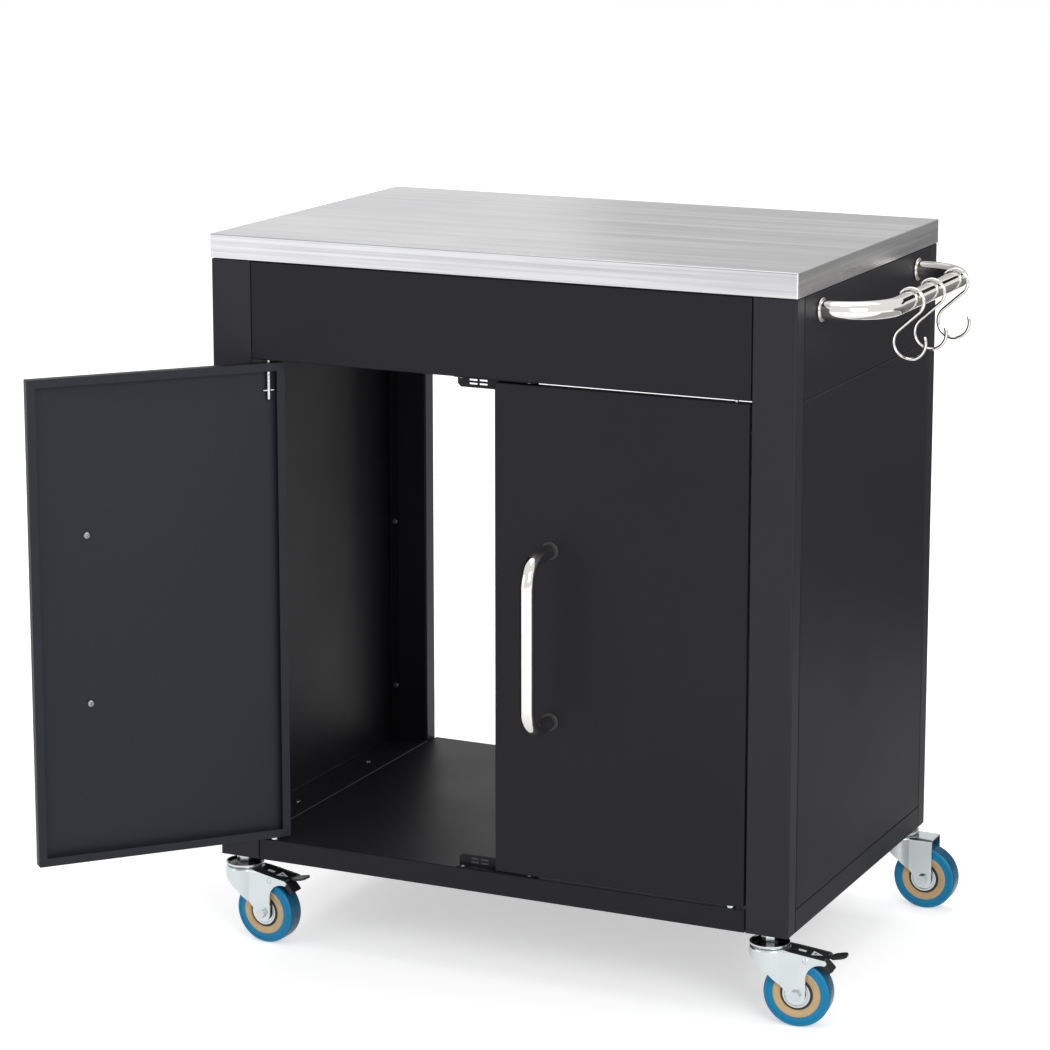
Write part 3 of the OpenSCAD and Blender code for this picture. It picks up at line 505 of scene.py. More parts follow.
def joined(pieces):
    """Join several pieces into the first."""
    deselect()
    for piece in pieces:
        piece.select_set(True)
    bpy.context.view_layer.objects.active = pieces[0]
    if len(pieces) > 1:
        bpy.ops.object.join()
    return bpy.context.view_layer.objects.active


def circle(radius, sides, place, turn):
    """An open circle, the start of a bar, a ring or a coil."""
    deselect()
    bpy.ops.mesh.primitive_circle_add(vertices=sides, radius=radius, fill_type="NOTHING",
                                      location=place, rotation=turn)
    bpy.ops.object.transform_apply(location=True, rotation=True, scale=True)
    return bpy.context.object


def bent_wire(radius, start, turn, route, sides):
    """A round bar along straight runs and bends, with closed ends.

    A run is a vector, and a bend is (centre, axis, angle, steps).
    """
    piece = circle(radius, sides, start, turn)
    edit_all("EDGE")
    for step in route:
        if len(step) == 3:
            bpy.ops.mesh.extrude_region_move(TRANSFORM_OT_translate={"value": step})
        else:
            centre, axis, angle, steps = step
            # a spin turns clockwise about its axis
            bpy.ops.mesh.spin(steps=steps, angle=-angle, center=centre, axis=axis, dupli=False)
    bpy.ops.mesh.select_all(action="SELECT")
    bpy.ops.mesh.fill_holes(sides=0)
    leave()
    recalculate(piece)
    return piece


def close_ring(piece):
    """Join a piece's two open edges."""
    edit("EDGE")
    bpy.ops.mesh.select_all(action="DESELECT")
    bpy.ops.mesh.select_non_manifold()
    bpy.ops.mesh.bridge_edge_loops()
    leave()
    recalculate(piece)


def turn_ends(piece, radius, profile):
    """Shape a disc's two end faces from the rim inwards.

    Each step of the profile goes in to a radius, and from there out by a rise.
    """
    activate(piece)
    for inner, rise in profile:
        bpy.ops.object.mode_set(mode="EDIT")
        bpy.ops.mesh.inset(thickness=radius - inner, depth=0)
        leave()
        if rise:
            bpy.ops.object.mode_set(mode="EDIT")
            bpy.ops.mesh.extrude_region_shrink_fatten(TRANSFORM_OT_shrink_fatten={"value": rise})
            leave()
        radius = inner


# Screws

# a solid whose height is a smaller share of its width is a collar and no screw
COLLAR_FLATNESS = 0.25
# a screw's shank, as a share of its head's radius
SHANK = 0.48
# how much of a head's height is dome, and the steps of its curve
DOME, DOME_STEPS = 0.72, 5
HEAD_SIDES = 32
# a recess's length and width in head radii, the height of its cutter in head heights, and its turn
RECESS = (1.05, 0.22, 1.1)
RECESS_TURN = 0.3


def loose_solids(node):
    """Copies of a node's separate solids."""
    activate(NODES[node])
    bpy.ops.object.duplicate()
    bpy.context.object.parent = None
    edit_all("VERT")
    bpy.ops.mesh.remove_doubles(threshold=MERGE)
    bpy.ops.mesh.separate(type="LOOSE")
    leave()
    return list(bpy.context.selected_objects)


def screw_places(node):
    """For each screw of a node: its head's radius and height, its shank's, and the place of its seat."""
    found = []
    for solid in loose_solids(node):
        points = [vertex.co.copy() for vertex in solid.data.vertices]
        drop(solid)
        low = Vector(min(point[i] for point in points) for i in range(3))
        high = Vector(max(point[i] for point in points) for i in range(3))
        size = high - low
        if min(size) < COLLAR_FLATNESS * max(size):
            continue
        axis = max(range(3), key=lambda i: size[i])
        across = [i for i in range(3) if i != axis]
        radius = min(size[i] for i in across) / 2
        place = (low + high) / 2
        rim = [p[axis] for p in points if math.hypot(*(p[i] - place[i] for i in across)) > 0.9 * radius]
        outward = 1 if sum(rim) / len(rim) > place[axis] else -1
        tip, foot = (high[axis], low[axis]) if outward > 0 else (low[axis], high[axis])
        place[axis] = min(rim) if outward > 0 else max(rim)
        heading = Vector([outward if i == axis else 0 for i in range(3)])
        turn = heading.to_track_quat("Z", "Y").to_matrix().to_4x4()
        head = (radius, abs(tip - place[axis]))
        shank = (radius * SHANK, abs(place[axis] - foot))
        found.append((head, shank, Matrix.Translation(place) @ turn))
    return found


def screw(head, shank, place):
    """A domed head with a cross recess on a plain shank."""
    radius, height = head
    deselect()
    bpy.ops.mesh.primitive_cylinder_add(vertices=HEAD_SIDES, radius=radius, depth=height,
                                        location=(0, 0, height / 2))
    piece = bpy.context.object
    bpy.ops.object.transform_apply(location=True)
    edit_picked(piece, "EDGE", lambda middle, along: middle.z > height * 0.98 and abs(along.z) < MERGE)
    bpy.ops.mesh.bevel(offset=height * DOME, segments=DOME_STEPS, affect="EDGES")
    leave()
    edit_picked(piece, "FACE", lambda centre, normal: normal.z < -0.9)
    bpy.ops.mesh.inset(thickness=radius - shank[0], depth=0)
    bpy.ops.mesh.extrude_region_shrink_fatten(TRANSFORM_OT_shrink_fatten={"value": shank[1]})
    leave()
    for turn in (RECESS_TURN, RECESS_TURN + math.pi / 2):
        deselect()
        scale = (radius * RECESS[0], radius * RECESS[1], height * RECESS[2])
        bpy.ops.mesh.primitive_cube_add(size=1, location=(0, 0, height), rotation=(0, 0, turn), scale=scale)
        cutter = bpy.context.object
        bpy.ops.object.transform_apply(location=True, rotation=True, scale=True)
        activate(piece)
        cut = piece.modifiers.new("recess", "BOOLEAN")
        cut.operation = "DIFFERENCE"
        cut.object = cutter
        cut.solver = "EXACT"
        bpy.ops.object.modifier_apply(modifier=cut.name)
        drop(cutter)
    piece.matrix_world = place
    apply_place(piece)
    return piece


# Sizes and colours

class KitchenCartSizes(bpy.types.PropertyGroup):
    """Sizes of the pieces that are modelled here."""

    tube_sides: IntProperty(name="Tube sides", description="Sides round a bent tube",
                            default=64, min=12, max=128)
    bar_bend: FloatProperty(name="Towel bar bend", description="Bend radius of the towel bar's axis",
                            default=0.060, min=0.03, unit="LENGTH")
    handle_bend: FloatProperty(name="Handle bend", description="Bend radius of a handle's axis",
                               default=0.032, min=0.015, unit="LENGTH")
    collar_radius: FloatProperty(name="Collar radius", description="Outer radius of a handle's collars",
                                 default=0.01075, unit="LENGTH")
    mark_size: FloatProperty(name="Pedal mark", description="Length of the triangle printed on a pedal",
                             default=0.0125, unit="LENGTH")
    hook_wire: FloatProperty(name="Hook wire", description="Diameter of the hooks' wire",
                             default=0.004, unit="LENGTH")
    hook_upper: FloatProperty(name="Upper loop", description="Mean radius of a hook's upper loop",
                              default=0.0155, unit="LENGTH")
    hook_lower: FloatProperty(name="Lower loop", description="Mean radius of a hook's lower loop",
                              default=0.0195, unit="LENGTH")
    hook_offset: FloatProperty(name="Hook offset", description="Offset of the lower loop towards the cabinet",
                               default=0.001, unit="LENGTH")
    core_radius: FloatProperty(name="Core radius", description="Radius at which a tread meets its core",
                               default=0.0286, unit="LENGTH")
    recess_radius: FloatProperty(name="Recess radius", description="Radius of the recess round a bearing",
                                 default=0.0197, unit="LENGTH")
    bearing_radius: FloatProperty(name="Bearing radius", description="Radius of a bearing",
                                  default=0.0166, unit="LENGTH")
    tread_shoulder: FloatProperty(name="Tread shoulder", description="Rounding of a tread's shoulders",
                                  default=0.004, unit="LENGTH")
    spring_wire: FloatProperty(name="Spring wire", description="Diameter of the springs' wire",
                               default=0.0007, unit="LENGTH")
    spring_turns: IntProperty(name="Spring curls", description="Curls of a spring", default=7, min=3, max=20)


class KitchenCartColours(bpy.types.PropertyGroup):
    """Colours of the finishes, as linear values."""

    powder: FloatVectorProperty(name="Powder coat", description="Black of the folded sheet", subtype="COLOR",
                                size=3, min=0, max=1, default=(0.0108, 0.0104, 0.0142))
    stainless: FloatVectorProperty(name="Stainless", description="Brushed worktop sheet", subtype="COLOR",
                                   size=3, min=0, max=1, default=(0.63, 0.63, 0.64))
    chrome: FloatVectorProperty(name="Chrome", description="Handles, towel bar and hooks", subtype="COLOR",
                                size=3, min=0, max=1, default=(0.74, 0.725, 0.69))
    zinc: FloatVectorProperty(name="Zinc", description="Plated screws, pins and casters", subtype="COLOR",
                              size=3, min=0, max=1, default=(0.60, 0.645, 0.655))
    board: FloatVectorProperty(name="Board", description="Particle board under the worktop", subtype="COLOR",
                               size=3, min=0, max=1, default=(0.46, 0.31, 0.18))
    wheel_core: FloatVectorProperty(name="Wheel centre", description="Moulded wheel centres", subtype="COLOR",
                                    size=3, min=0, max=1, default=(0.66, 0.445, 0.215))
    tread: FloatVectorProperty(name="Tread", description="Elastic wheel treads", subtype="COLOR",
                               size=3, min=0, max=1, default=(0.004, 0.245, 0.49))
    tread_rolling: FloatVectorProperty(name="Rolling tread", description="Rolling face of the treads",
                                    subtype="COLOR", size=3, min=0, max=1, default=(0.010, 0.080, 0.15))
    pedal: FloatVectorProperty(name="Pedal", description="Painted brake pedals", subtype="COLOR",
                               size=3, min=0, max=1, default=(0.013, 0.014, 0.015))
    marks: FloatVectorProperty(name="Pedal marks", description="White marks printed on the pedals",
                               subtype="COLOR", size=3, min=0, max=1, default=(0.80, 0.82, 0.81))


class KitchenCartStudio(bpy.types.PropertyGroup):
    """Camera, floor and lights."""

    lens: FloatProperty(name="Lens", description="Focal length of the camera",
                        default=119.62, min=20, max=300)
    camera_at: FloatVectorProperty(name="Camera", description="Place of the camera", subtype="TRANSLATION",
                                   unit="LENGTH", size=3, default=(1.7166, -3.8328, 1.4651))
    camera_tilt: FloatProperty(name="Tilt", description="Tilt of the camera below the level", subtype="ANGLE",
                               default=math.radians(11.116))
    camera_turn: FloatProperty(name="Turn", description="Turn of the camera to the left", subtype="ANGLE",
                               default=math.radians(25.029))
    rise: FloatProperty(name="Rise", description="Vertical shift of the lens", default=-0.10, min=-1, max=1)
    key: FloatProperty(name="Key light", description="Power of the light at the right",
                       default=42, min=0, unit="POWER")
    top: FloatProperty(name="Top light", description="Power of the light above",
                       default=20, min=0, unit="POWER")
    fill: FloatProperty(name="Fill light", description="Power of the light at the left",
                        default=10, min=0, unit="POWER")
    rear: FloatProperty(name="Rear light", description="Power of the small light behind",
                        default=15, min=0, unit="POWER")


# Operators

class KITCHENCART_OT_stage(bpy.types.Operator):
    """Make the camera, the pale floor, the lights and the white surroundings"""

    bl_idname = "kitchen_cart.stage"
    bl_label = "Stage"

    # square area lamps: name, place, aim, size, and whether metal and paint reflect them
    LAMPS = (
        ("key", (2.3, -2.3, 1.9), (0, 0, 0.5), 1.6, True),
        ("top", (0.1, 0.2, 3.0), (0, 0, 0.5), 2.2, True),
        ("fill", (-2.2, -2.6, 1.3), (0, 0, 0.5), 1.6, True),
        ("rear", (-1.7, 1.6, 2.1), (0, 0, 0.4), 0.55, False),
    )
    # grey cards that only metal and paint reflect: name, centre, width and height, tilt, lower and upper tone
    CARDS = (
        ("card_right_rear", (2.0, 1.35, 0.44), (3.4, 0.86), 90, (0.10, 0.34)),
        ("card_floor", (1.50, 0.55, 0.004), (2.1, 1.5), 0, (0.50, 0.50)),
        ("card_bar", (1.0, 1.35, 1.27), (0.9, 0.26), 90, (0.02, 0.02)),
        ("card_rear", (-0.35, 2.3, 1.5), (1.3, 1.2), 90, (0.62, 0.70)),
    )
    FLOOR_SIZE = 24
    FLOOR_TONE = (0.94, 0.94, 0.94, 1)
    # the floor's glow beside the cart and far from it, and the distances between which it grows; the weaker
    # glow near the cart paints a broad shade round it
    FLOOR_GLOW = (0.50, 0.80)
    GLOW_REACH = (0.9, 2.6)
    # strength of the surroundings as light, and where they are seen directly
    SURROUNDINGS = (0.45, 1.0)

    def execute(self, context):
        studio = context.scene.kitchen_cart_studio
        self.camera(context, studio)
        self.floor()
        for name, place, aim, size, glossy in self.LAMPS:
            self.lamp(name + "_light", place, aim, size, glossy, getattr(studio, name))
        for card in self.CARDS:
            self.card(*card)
        self.surroundings(context)
        context.scene.view_settings.view_transform = "Standard"
        return {"FINISHED"}

    def camera(self, context, studio):
        deselect()
        turn = (math.pi / 2 - studio.camera_tilt, 0, studio.camera_turn)
        bpy.ops.object.camera_add(location=studio.camera_at, rotation=turn)
        camera = context.object
        camera.name = "camera"
        camera.data.sensor_width = 36
        camera.data.lens = studio.lens
        camera.data.shift_y = studio.rise
        camera.data.dof.use_dof = False
        camera.data.clip_end = 60
        context.scene.camera = camera

    def plane(self, finish, size, place, tilt=0):
        deselect()
        bpy.ops.mesh.primitive_plane_add(size=size, location=place, rotation=(math.radians(tilt), 0, 0))
        plane = bpy.context.object
        plane.data.materials.append(finish.material)
        return plane

    def glow(self, finish, strength):
        """A glow of this strength."""
        made = finish.node("ShaderNodeEmission")
        finish.link(strength, made.inputs["Strength"])
        return made.outputs["Emission"]

    def floor(self):
        f = Finish("pale_floor")
        f.set(Base_Color=self.FLOOR_TONE, Roughness=0.9, Specular_IOR_Level=0.1)
        away = f.node("ShaderNodeVectorMath", operation="LENGTH")
        total = f.node("ShaderNodeAddShader")
        f.link(f.place.outputs["Object"], away.inputs[0])
        # painted shade: the floor glows less near the cart than far from it
        whiter = f.spread(away.outputs["Value"], *self.FLOOR_GLOW, *self.GLOW_REACH)
        f.link(f.shader.outputs["BSDF"], total.inputs[0])
        f.link(self.glow(f, f.maths("MULTIPLY", f.seen_directly(), whiter)), total.inputs[1])
        f.show(total.outputs["Shader"])
        self.plane(f, self.FLOOR_SIZE, (0, 0, 0)).name = "floor"

    def card(self, name, centre, size, tilt, tones):
        f = Finish(name)
        f.show(self.glow(f, f.spread(f.parts("Object")["Y"], *tones, -0.5, 0.5)))
        card = self.plane(f, 1, centre, tilt)
        card.name = name
        card.scale = (*size, 1)
        card.visible_camera = card.visible_diffuse = card.visible_transmission = False
        card.visible_shadow = card.visible_volume_scatter = False

    def lamp(self, name, place, aim, size, glossy, power):
        deselect()
        turn = (Vector(place) - Vector(aim)).to_track_quat("Z", "Y").to_euler()
        bpy.ops.object.light_add(type="AREA", location=place, rotation=turn)
        lamp = bpy.context.object
        lamp.name = name
        lamp.visible_glossy = glossy
        lamp.data.shape = "SQUARE"
        lamp.data.size = size
        lamp.data.energy = power

    def surroundings(self, context):
        world = bpy.data.worlds.new("studio")
        context.scene.world = world
        world.use_nodes = True
        nodes = Nodes(world.node_tree)
        back = world.node_tree.nodes["Background"]
        back.inputs["Color"].default_value = (1, 1, 1, 1)
        nodes.link(nodes.spread(nodes.seen_directly(), *self.SURROUNDINGS, 0.0, 1.0), back.inputs["Strength"])


class KITCHENCART_OT_finishes(bpy.types.Operator):
    """Give every sheet, tube and fitting its finish"""

    bl_idname = "kitchen_cart.finishes"
    bl_label = "Finishes"

    def execute(self, context):
        colours = context.scene.kitchen_cart_colours
        make_finishes(colours)
        slots = {row["node"]: row["material_slot"] for row in frame["record"]["subparts"]}
        inside = opened_door().to_3x3() @ Vector((0, 1, 0))
        # the posts get a lighter copy of the powder coat: painted light
        posts_painted_lighter = powder_coat(colours, "post_powder_coat", 1.45, 0.25)
        own = {name: posts_painted_lighter for name in NODES if name.startswith("post_")}
        own["caster_races"] = race_finish(colours)
        # the inside of the open left door gets painted light
        own["door_left"] = powder_coat(colours, "door_powder_coat", inside=inside)
        for name, piece in NODES.items():
            piece.data.materials.clear()
            piece.data.materials.append(own.get(name) or FINISH_OF_SLOT[slots[name]])
        return {"FINISHED"}


class KITCHENCART_OT_towel_bar(bpy.types.Operator):
    """Bend the towel bar"""

    bl_idname = "kitchen_cart.towel_bar"
    bl_label = "Towel bar"

    BEND_STEPS = 28

    def execute(self, context):
        sizes = context.scene.kitchen_cart_sizes
        low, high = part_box("towel_bar")
        radius = (high.z - low.z) / 2
        bend = sizes.bar_bend
        end = low.y + radius
        turn_x = high.x - radius - bend
        route = [
            (turn_x - low.x, 0, 0),
            ((turn_x, end + bend, low.z + radius), (0, 0, 1), math.pi / 2, self.BEND_STEPS),
            (0, -2 * (end + bend), 0),
            ((turn_x, -end - bend, low.z + radius), (0, 0, 1), math.pi / 2, self.BEND_STEPS),
            (low.x - turn_x, 0, 0),
        ]
        bar = bent_wire(radius, (low.x, end, low.z + radius), (0, math.pi / 2, 0), route, sizes.tube_sides)
        hand_over(bar, "towel_bar_tube", "cabinet", "polished_chrome")
        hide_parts("towel_bar")
        return {"FINISHED"}


class KITCHENCART_OT_handles(bpy.types.Operator):
    """Bend both door handles, and make their collars and screws"""

    bl_idname = "kitchen_cart.handles"
    bl_label = "Door handles"

    BEND_STEPS = 24
    COLLAR_SIDES = 64
    # a collar from the door outwards: height over the door, and how much its radius is drawn in
    EDGE = ((0.0, 0.0), (0.0009, 0.0), (0.0016, 0.0005), (0.0020, 0.0014))
    # the collar's inner edge: height over the door, and room round the tube
    MOUTH = (0.0019, 0.0001)

    def execute(self, context):
        sizes = context.scene.kitchen_cart_sizes
        low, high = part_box("handle_right")
        radius = (high.x - low.x) / 2
        bend = sizes.handle_bend
        middle = (low.x + high.x) / 2
        turn_y = low.y + radius + bend
        start, stop = low.z + radius, high.z - radius
        route = [
            (0, turn_y - high.y, 0),
            ((middle, turn_y, start + bend), (1, 0, 0), -math.pi / 2, self.BEND_STEPS),
            (0, 0, stop - start - 2 * bend),
            ((middle, turn_y, stop - bend), (1, 0, 0), -math.pi / 2, self.BEND_STEPS),
            (0, high.y - turn_y, 0),
        ]
        to_left = opened_door() @ Matrix.Translation((-2 * middle, 0, 0))
        tube = bent_wire(radius, (middle, high.y, start), (math.pi / 2, 0, 0), route, sizes.tube_sides)
        self.pair("tube", tube, to_left, "handle_", "polished_chrome")
        collars = joined([self.collar(radius, (middle, high.y, height), sizes) for height in (start, stop)])
        screws = joined([screw(*found) for found in screw_places("handle_fixings_right")])
        dull = screw_finish(context.scene.kitchen_cart_colours)
        self.pair("collars", collars, to_left, "handle_fixings_", "dark_plastic")
        self.pair("screws", screws, to_left, "handle_fixings_", "zinc_plate", dull)
        return {"FINISHED"}

    def pair(self, part, right, to_left, node, slot, finish=None):
        """Hand over a part of the right handle and its copy on the left door."""
        for side, piece in (("left", copied(right, to_left)), ("right", right)):
            hand_over(piece, "handle_%s_%s" % (side, part), "door_" + side, slot, finish=finish)
            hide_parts(node + side)

    def collar(self, tube, seat, sizes):
        """A domed ring round a handle's leg, against the door."""
        seat = Vector(seat)
        inner = tube + self.MOUTH[1]
        piece = circle(inner, self.COLLAR_SIDES, seat, (math.pi / 2, 0, 0))
        edit_all("EDGE")
        profile = [(rise, sizes.collar_radius - drawn_in) for rise, drawn_in in self.EDGE]
        for rise, radius in (*profile, (self.MOUTH[0], inner)):
            bpy.ops.mesh.extrude_region_move(TRANSFORM_OT_translate={"value": (0, 0, 0)})
            leave()
            for vertex in piece.data.vertices:
                if vertex.select:
                    away = Vector((vertex.co.x - seat.x, 0, vertex.co.z - seat.z)).normalized()
                    vertex.co = seat + Vector((0, -rise, 0)) + away * radius
            bpy.ops.object.mode_set(mode="EDIT")
        leave()
        close_ring(piece)
        return piece


class KITCHENCART_OT_hooks(bpy.types.Operator):
    """Bend the three S-hooks"""

    bl_idname = "kitchen_cart.hooks"
    bl_label = "Hooks"

    # where the upper and lower loops end, in degrees from the bar's outer side
    UPPER_END, LOWER_END = 178, 203
    LOOP_STEPS = 40
    WIRE_SIDES = 20

    def execute(self, context):
        sizes = context.scene.kitchen_cart_sizes
        low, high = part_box("hook_near")
        wire = sizes.hook_wire / 2
        upper_r = sizes.hook_upper
        lower_r = sizes.hook_lower
        bar_low, bar_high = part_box("towel_bar")
        bar_x = bar_high.x - (bar_high.z - bar_low.z) / 2
        upper = Vector((bar_x, 0, high.z - wire - upper_r))
        lower = Vector((bar_x - sizes.hook_offset, 0, low.z + wire + lower_r))

        # the straight shank touches both loops from opposite sides
        across = lower - upper
        lean = math.atan2(across.z, across.x) + math.acos((upper_r + lower_r) / across.length)
        length = math.sqrt(across.length_squared - (upper_r + lower_r) ** 2)
        top = upper + upper_r * Vector((math.cos(lean), 0, math.sin(lean)))
        down = Vector((math.sin(lean), 0, -math.cos(lean)))
        middle = top + down * length / 2
        halves = []
        for loop, heading, end in ((upper, -down, self.UPPER_END), (lower, down, self.LOWER_END)):
            turn = heading.to_track_quat("Z", "Y").to_euler()
            curl = (tuple(loop), (0, -1, 0), math.radians(end) - lean, self.LOOP_STEPS)
            route = [tuple(heading * length / 2), curl]
            halves.append(bent_wire(wire, middle, turn, route, self.WIRE_SIDES))
        first = joined(halves)
        recalculate(first)
        for name in ("hook_near", "hook_middle", "hook_far"):
            y = sum(corner.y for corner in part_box(name)) / 2
            hook = copied(first, Matrix.Translation((0, y, 0)))
            hand_over(hook, name + "_wire", name, "polished_chrome", 50)
            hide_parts(name)
        drop(first)
        return {"FINISHED"}


class KITCHENCART_OT_wheels(bpy.types.Operator):
    """Turn the wheels' treads, centres and bearings"""

    bl_idname = "kitchen_cart.wheels"
    bl_label = "Wheels"

    DISC_SIDES = 96
    SHOULDER_STEPS = 8
    # room left between two turned parts, on the radius
    ROOM = 0.00005
    # how much narrower than its tread a centre and a seal are
    CENTRE_INSET, SEAL_INSET = 0.0014, 0.0052

    def execute(self, context):
        sizes = context.scene.kitchen_cart_sizes
        low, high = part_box("wheel_tread_rr")
        radius, width = (high.x - low.x) / 2, high.y - low.y
        parts = {
            "tread": (self.tread(radius, width, sizes), "blue_tread", "wheel_tread_"),
            "centre": (self.centre(width, sizes), "tan_plastic", "wheel_core_"),
            "seal": (self.seal(width, sizes), "dark_plastic", None),
            "bearing": (self.bearing(width, sizes), "zinc_plate", "hub_bearings_"),
        }
        for corner in ("fl", "fr", "rl", "rr"):
            joint = JOINTS["wheel_%s_spin" % corner]
            turn = Vector(joint["axis"]).to_track_quat("Z", "X").to_matrix().to_4x4()
            place = Matrix.Translation(joint["pos_m"]) @ turn
            for part, (pattern, slot, node) in parts.items():
                piece = copied(pattern, place)
                hand_over(piece, "wheel_%s_%s" % (corner, part), joint["child"], slot)
                if node:
                    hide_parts(node + corner)
        for pattern, _, _ in parts.values():
            drop(pattern)
        return {"FINISHED"}

    def disc(self, radius, width):
        """A disc with its two end faces picked."""
        deselect()
        bpy.ops.mesh.primitive_cylinder_add(vertices=self.DISC_SIDES, radius=radius, depth=width,
                                            end_fill_type="NGON")
        piece = bpy.context.object
        edit_picked(piece, "FACE", lambda centre, normal: abs(normal.z) > 0.9)
        leave()
        return piece

    def open_middle(self, piece):
        """Delete the picked end faces and join their edges through the piece."""
        edit()
        bpy.ops.mesh.delete(type="FACE")
        leave()
        close_ring(piece)

    def tread(self, radius, width, sizes):
        piece = self.disc(radius, width)
        edit_picked(piece, "EDGE", lambda middle, along: abs(along.z) < MERGE)
        bpy.ops.mesh.bevel(offset=sizes.tread_shoulder, segments=self.SHOULDER_STEPS, affect="EDGES")
        leave()
        edit_picked(piece, "FACE", lambda centre, normal: abs(normal.z) > 0.99 and centre.xy.length < 0.001)
        leave()
        face = radius - sizes.tread_shoulder
        turn_ends(piece, face, [(face - 0.0008, -0.0006), (sizes.core_radius, 0)])
        self.open_middle(piece)
        return piece

    def centre(self, width, sizes):
        rim = sizes.core_radius - 2 * self.ROOM
        recess = sizes.recess_radius
        piece = self.disc(rim, width - self.CENTRE_INSET)
        turn_ends(piece, rim, [
            (rim - 0.0010, 0.0005), (rim - 0.0022, -0.0003),
            (recess + 0.0009, -0.0004), (recess, -0.0034), (sizes.bearing_radius, 0),
        ])
        self.open_middle(piece)
        soften(piece, 0.00018)
        return piece

    def seal(self, width, sizes):
        rim = sizes.recess_radius - self.ROOM
        piece = self.disc(rim, width - self.SEAL_INSET)
        turn_ends(piece, rim, [(rim - 0.0007, 0.0005), (sizes.bearing_radius + self.ROOM, 0)])
        self.open_middle(piece)
        return piece

    def bearing(self, width, sizes):
        """An outer ring, a sunk shield and an inner ring."""
        rim = sizes.bearing_radius - self.ROOM
        piece = self.disc(rim, width)
        turn_ends(piece, rim, [
            (rim - 0.0022, -0.0011), (rim - 0.0029, 0.0004),
            (0.0084, -0.0006), (0.0078, 0.0013), (0.0037, 0),
        ])
        self.open_middle(piece)
        soften(piece, 0.0002)
        return piece


class KITCHENCART_OT_pedal_marks(bpy.types.Operator):
    """Print a white triangle and a bar on each brake pedal"""

    bl_idname = "kitchen_cart.pedal_marks"
    bl_label = "Pedal marks"

    # thickness of the print, and its height over the pedal
    THICK = 0.00012
    LIFT = 0.00002

    def execute(self, context):
        size = context.scene.kitchen_cart_sizes.mark_size
        white = print_finish(context.scene.kitchen_cart_colours)
        for corner in ("fl", "fr"):
            node = NODES["brake_pedal_" + corner]
            centre, normal = self.plate(node)
            along = centre - Vector(JOINTS["caster_%s_swivel" % corner]["pos_m"])
            along = (along - along.dot(normal) * normal).normalized()
            across = normal.cross(along)
            place = Matrix((along, across, normal)).transposed().to_4x4()
            place.translation = centre + normal * self.LIFT
            marks = joined([self.triangle(size), self.bar(size)])
            marks.matrix_world = place @ marks.matrix_world
            hand_over(marks, "pedal_marks_" + corner, body_of(node)[0], "black_pedal", finish=white)
        return {"FINISHED"}

    def plate(self, node):
        """Centre and normal of the flat top of a pedal."""
        flats = {}
        for face in node.data.polygons:
            if face.normal.z > 0.6:
                key = tuple(round(value, 2) for value in face.normal)
                flats.setdefault(key, []).append(face)
        faces = max(flats.values(), key=lambda group: sum(face.area for face in group))
        area = sum(face.area for face in faces)
        centre = sum((face.center * face.area for face in faces), Vector()) / area
        return centre, faces[0].normal.copy()

    def raise_print(self, piece):
        """Give a flat mark its thickness."""
        edit_all()
        bpy.ops.mesh.extrude_region_move(TRANSFORM_OT_translate={"value": (0, 0, self.THICK)})
        leave()
        recalculate(piece)
        return piece

    def triangle(self, size):
        """An open triangle that points to the pedal's tip."""
        deselect()
        bpy.ops.mesh.primitive_circle_add(vertices=3, radius=size / 1.5, fill_type="NGON",
                                          location=(size * 0.75, 0, 0), rotation=(0, 0, -math.pi / 2))
        piece = bpy.context.object
        bpy.ops.object.transform_apply(location=True, rotation=True, scale=True)
        edit_all()
        bpy.ops.mesh.inset(thickness=size * 0.21, depth=0)
        bpy.ops.mesh.delete(type="FACE")
        leave()
        return self.raise_print(piece)

    def bar(self, size):
        """A short bar with cut corners behind the triangle."""
        deselect()
        bpy.ops.mesh.primitive_plane_add(size=1, location=(-size * 0.55, 0, 0))
        piece = bpy.context.object
        piece.scale = (size * 0.75, size * 0.42, 1)
        bpy.ops.object.transform_apply(location=True, rotation=True, scale=True)
        edit_all("VERT")
        bpy.ops.mesh.bevel(offset=size * 0.08, segments=2, affect="VERTICES")
        leave()
        return self.raise_print(piece)


class KITCHENCART_OT_springs(bpy.types.Operator):
    """Wind the springs of the hinge pins"""

    bl_idname = "kitchen_cart.springs"
    bl_label = "Hinge springs"

    WIRE_SIDES = 12
    CURL_STEPS = 28

    def execute(self, context):
        sizes = context.scene.kitchen_cart_sizes
        for side in ("left", "right"):
            low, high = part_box("hinge_spring_" + side)
            wire = sizes.spring_wire / 2
            radius = (high.x - low.x) / 2 - wire
            axis = JOINTS["door_%s_hinge" % side]["pos_m"]
            spring = circle(wire, self.WIRE_SIDES, (radius, 0, 0), (math.pi / 2, 0, 0))
            coil = spring.modifiers.new("coil", "SCREW")
            coil.axis = "Z"
            coil.iterations = sizes.spring_turns
            coil.angle = math.tau
            coil.screw_offset = (high.z - low.z - 2 * wire) / sizes.spring_turns
            coil.steps = coil.render_steps = self.CURL_STEPS
            bpy.ops.object.modifier_apply(modifier=coil.name)
            edit_all("EDGE")
            bpy.ops.mesh.fill_holes(sides=0)
            leave()
            spring.location = (axis[0], axis[1], low.z + wire)
            apply_place(spring)
            recalculate(spring)
            hand_over(spring, "hinge_spring_%s_coil" % side, "hinge_pin_" + side, "zinc_plate", 60)
            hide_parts("hinge_spring_" + side)
        return {"FINISHED"}


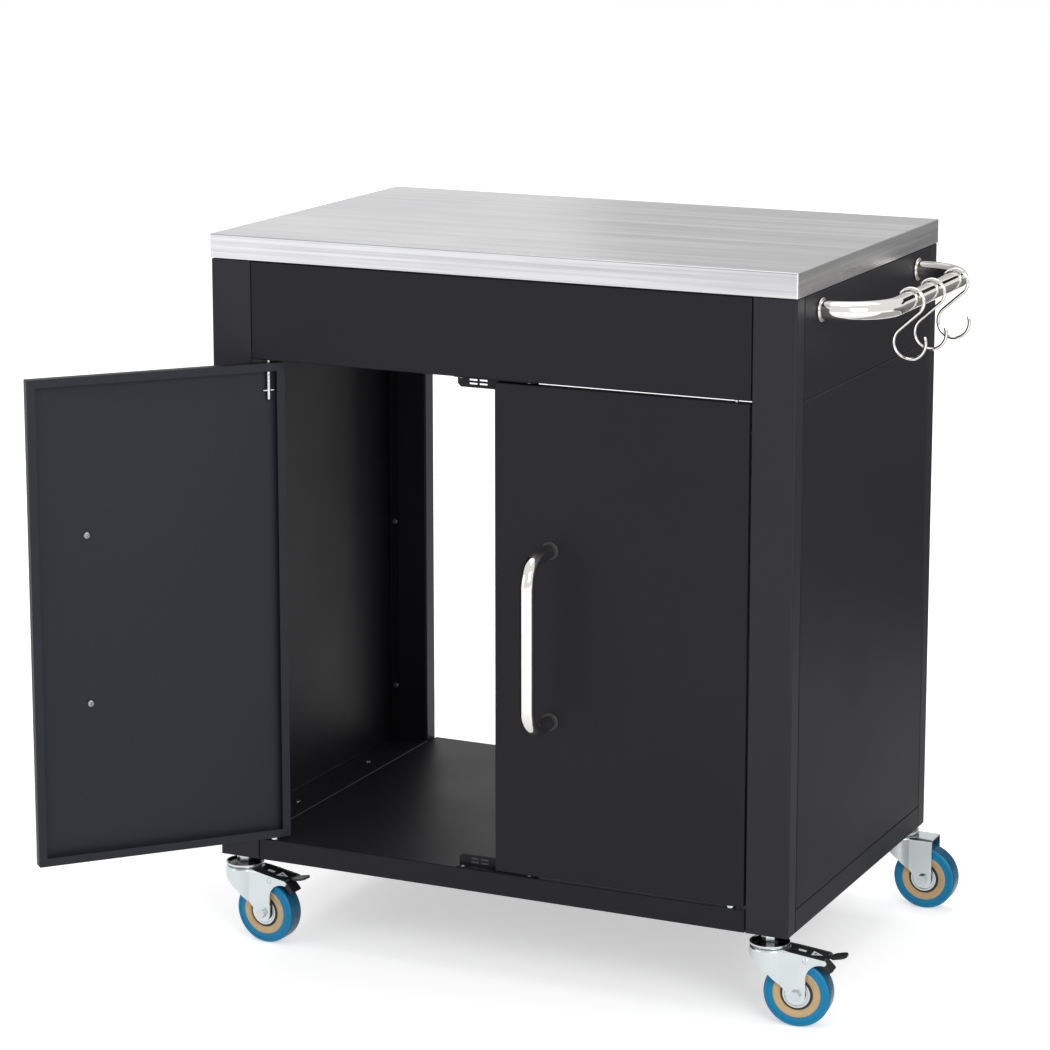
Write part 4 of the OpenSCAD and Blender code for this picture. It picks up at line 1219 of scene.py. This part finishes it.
class KITCHENCART_OT_screws(bpy.types.Operator):
    """Make the screws with their cross recesses"""

    bl_idname = "kitchen_cart.screws"
    bl_label = "Screws"

    def execute(self, context):
        group = joined([screw(*found) for found in screw_places("panel_screws")])
        dull = screw_finish(context.scene.kitchen_cart_colours)
        hand_over(group, "panel_screw_set", "cabinet", "zinc_plate", 30, dull)
        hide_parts("panel_screws")
        return {"FINISHED"}


class KITCHENCART_PT_panel(bpy.types.Panel):
    """Steps that build the cart's looks"""

    bl_idname = "KITCHENCART_PT_panel"
    bl_label = "Kitchen Cart"
    bl_space_type = "VIEW_3D"
    bl_region_type = "UI"
    bl_category = "Kitchen Cart"

    def draw(self, context):
        column = self.layout.column()
        for operator in OPERATORS:
            column.operator(operator.bl_idname)
        for group in (context.scene.kitchen_cart_sizes, context.scene.kitchen_cart_colours,
                      context.scene.kitchen_cart_studio):
            for name in group.bl_rna.properties.keys():
                if name not in ("rna_type", "name"):
                    column.prop(group, name)


OPERATORS = (KITCHENCART_OT_stage, KITCHENCART_OT_finishes, KITCHENCART_OT_towel_bar, KITCHENCART_OT_handles,
             KITCHENCART_OT_hooks, KITCHENCART_OT_wheels, KITCHENCART_OT_pedal_marks, KITCHENCART_OT_springs,
             KITCHENCART_OT_screws)
CLASSES = (KitchenCartSizes, KitchenCartColours, KitchenCartStudio, *OPERATORS, KITCHENCART_PT_panel)


def register():
    for one in CLASSES:
        bpy.utils.register_class(one)
    bpy.types.Scene.kitchen_cart_sizes = PointerProperty(type=KitchenCartSizes)
    bpy.types.Scene.kitchen_cart_colours = PointerProperty(type=KitchenCartColours)
    bpy.types.Scene.kitchen_cart_studio = PointerProperty(type=KitchenCartStudio)


def unregister():
    del bpy.types.Scene.kitchen_cart_studio
    del bpy.types.Scene.kitchen_cart_colours
    del bpy.types.Scene.kitchen_cart_sizes
    for one in reversed(CLASSES):
        bpy.utils.unregister_class(one)


def main():
    register()
    bpy.ops.kitchen_cart.stage()
    bpy.ops.kitchen_cart.finishes()
    bpy.ops.kitchen_cart.towel_bar()
    bpy.ops.kitchen_cart.handles()
    bpy.ops.kitchen_cart.hooks()
    bpy.ops.kitchen_cart.wheels()
    bpy.ops.kitchen_cart.pedal_marks()
    bpy.ops.kitchen_cart.springs()
    bpy.ops.kitchen_cart.screws()


if __name__ == "__main__":
    main()
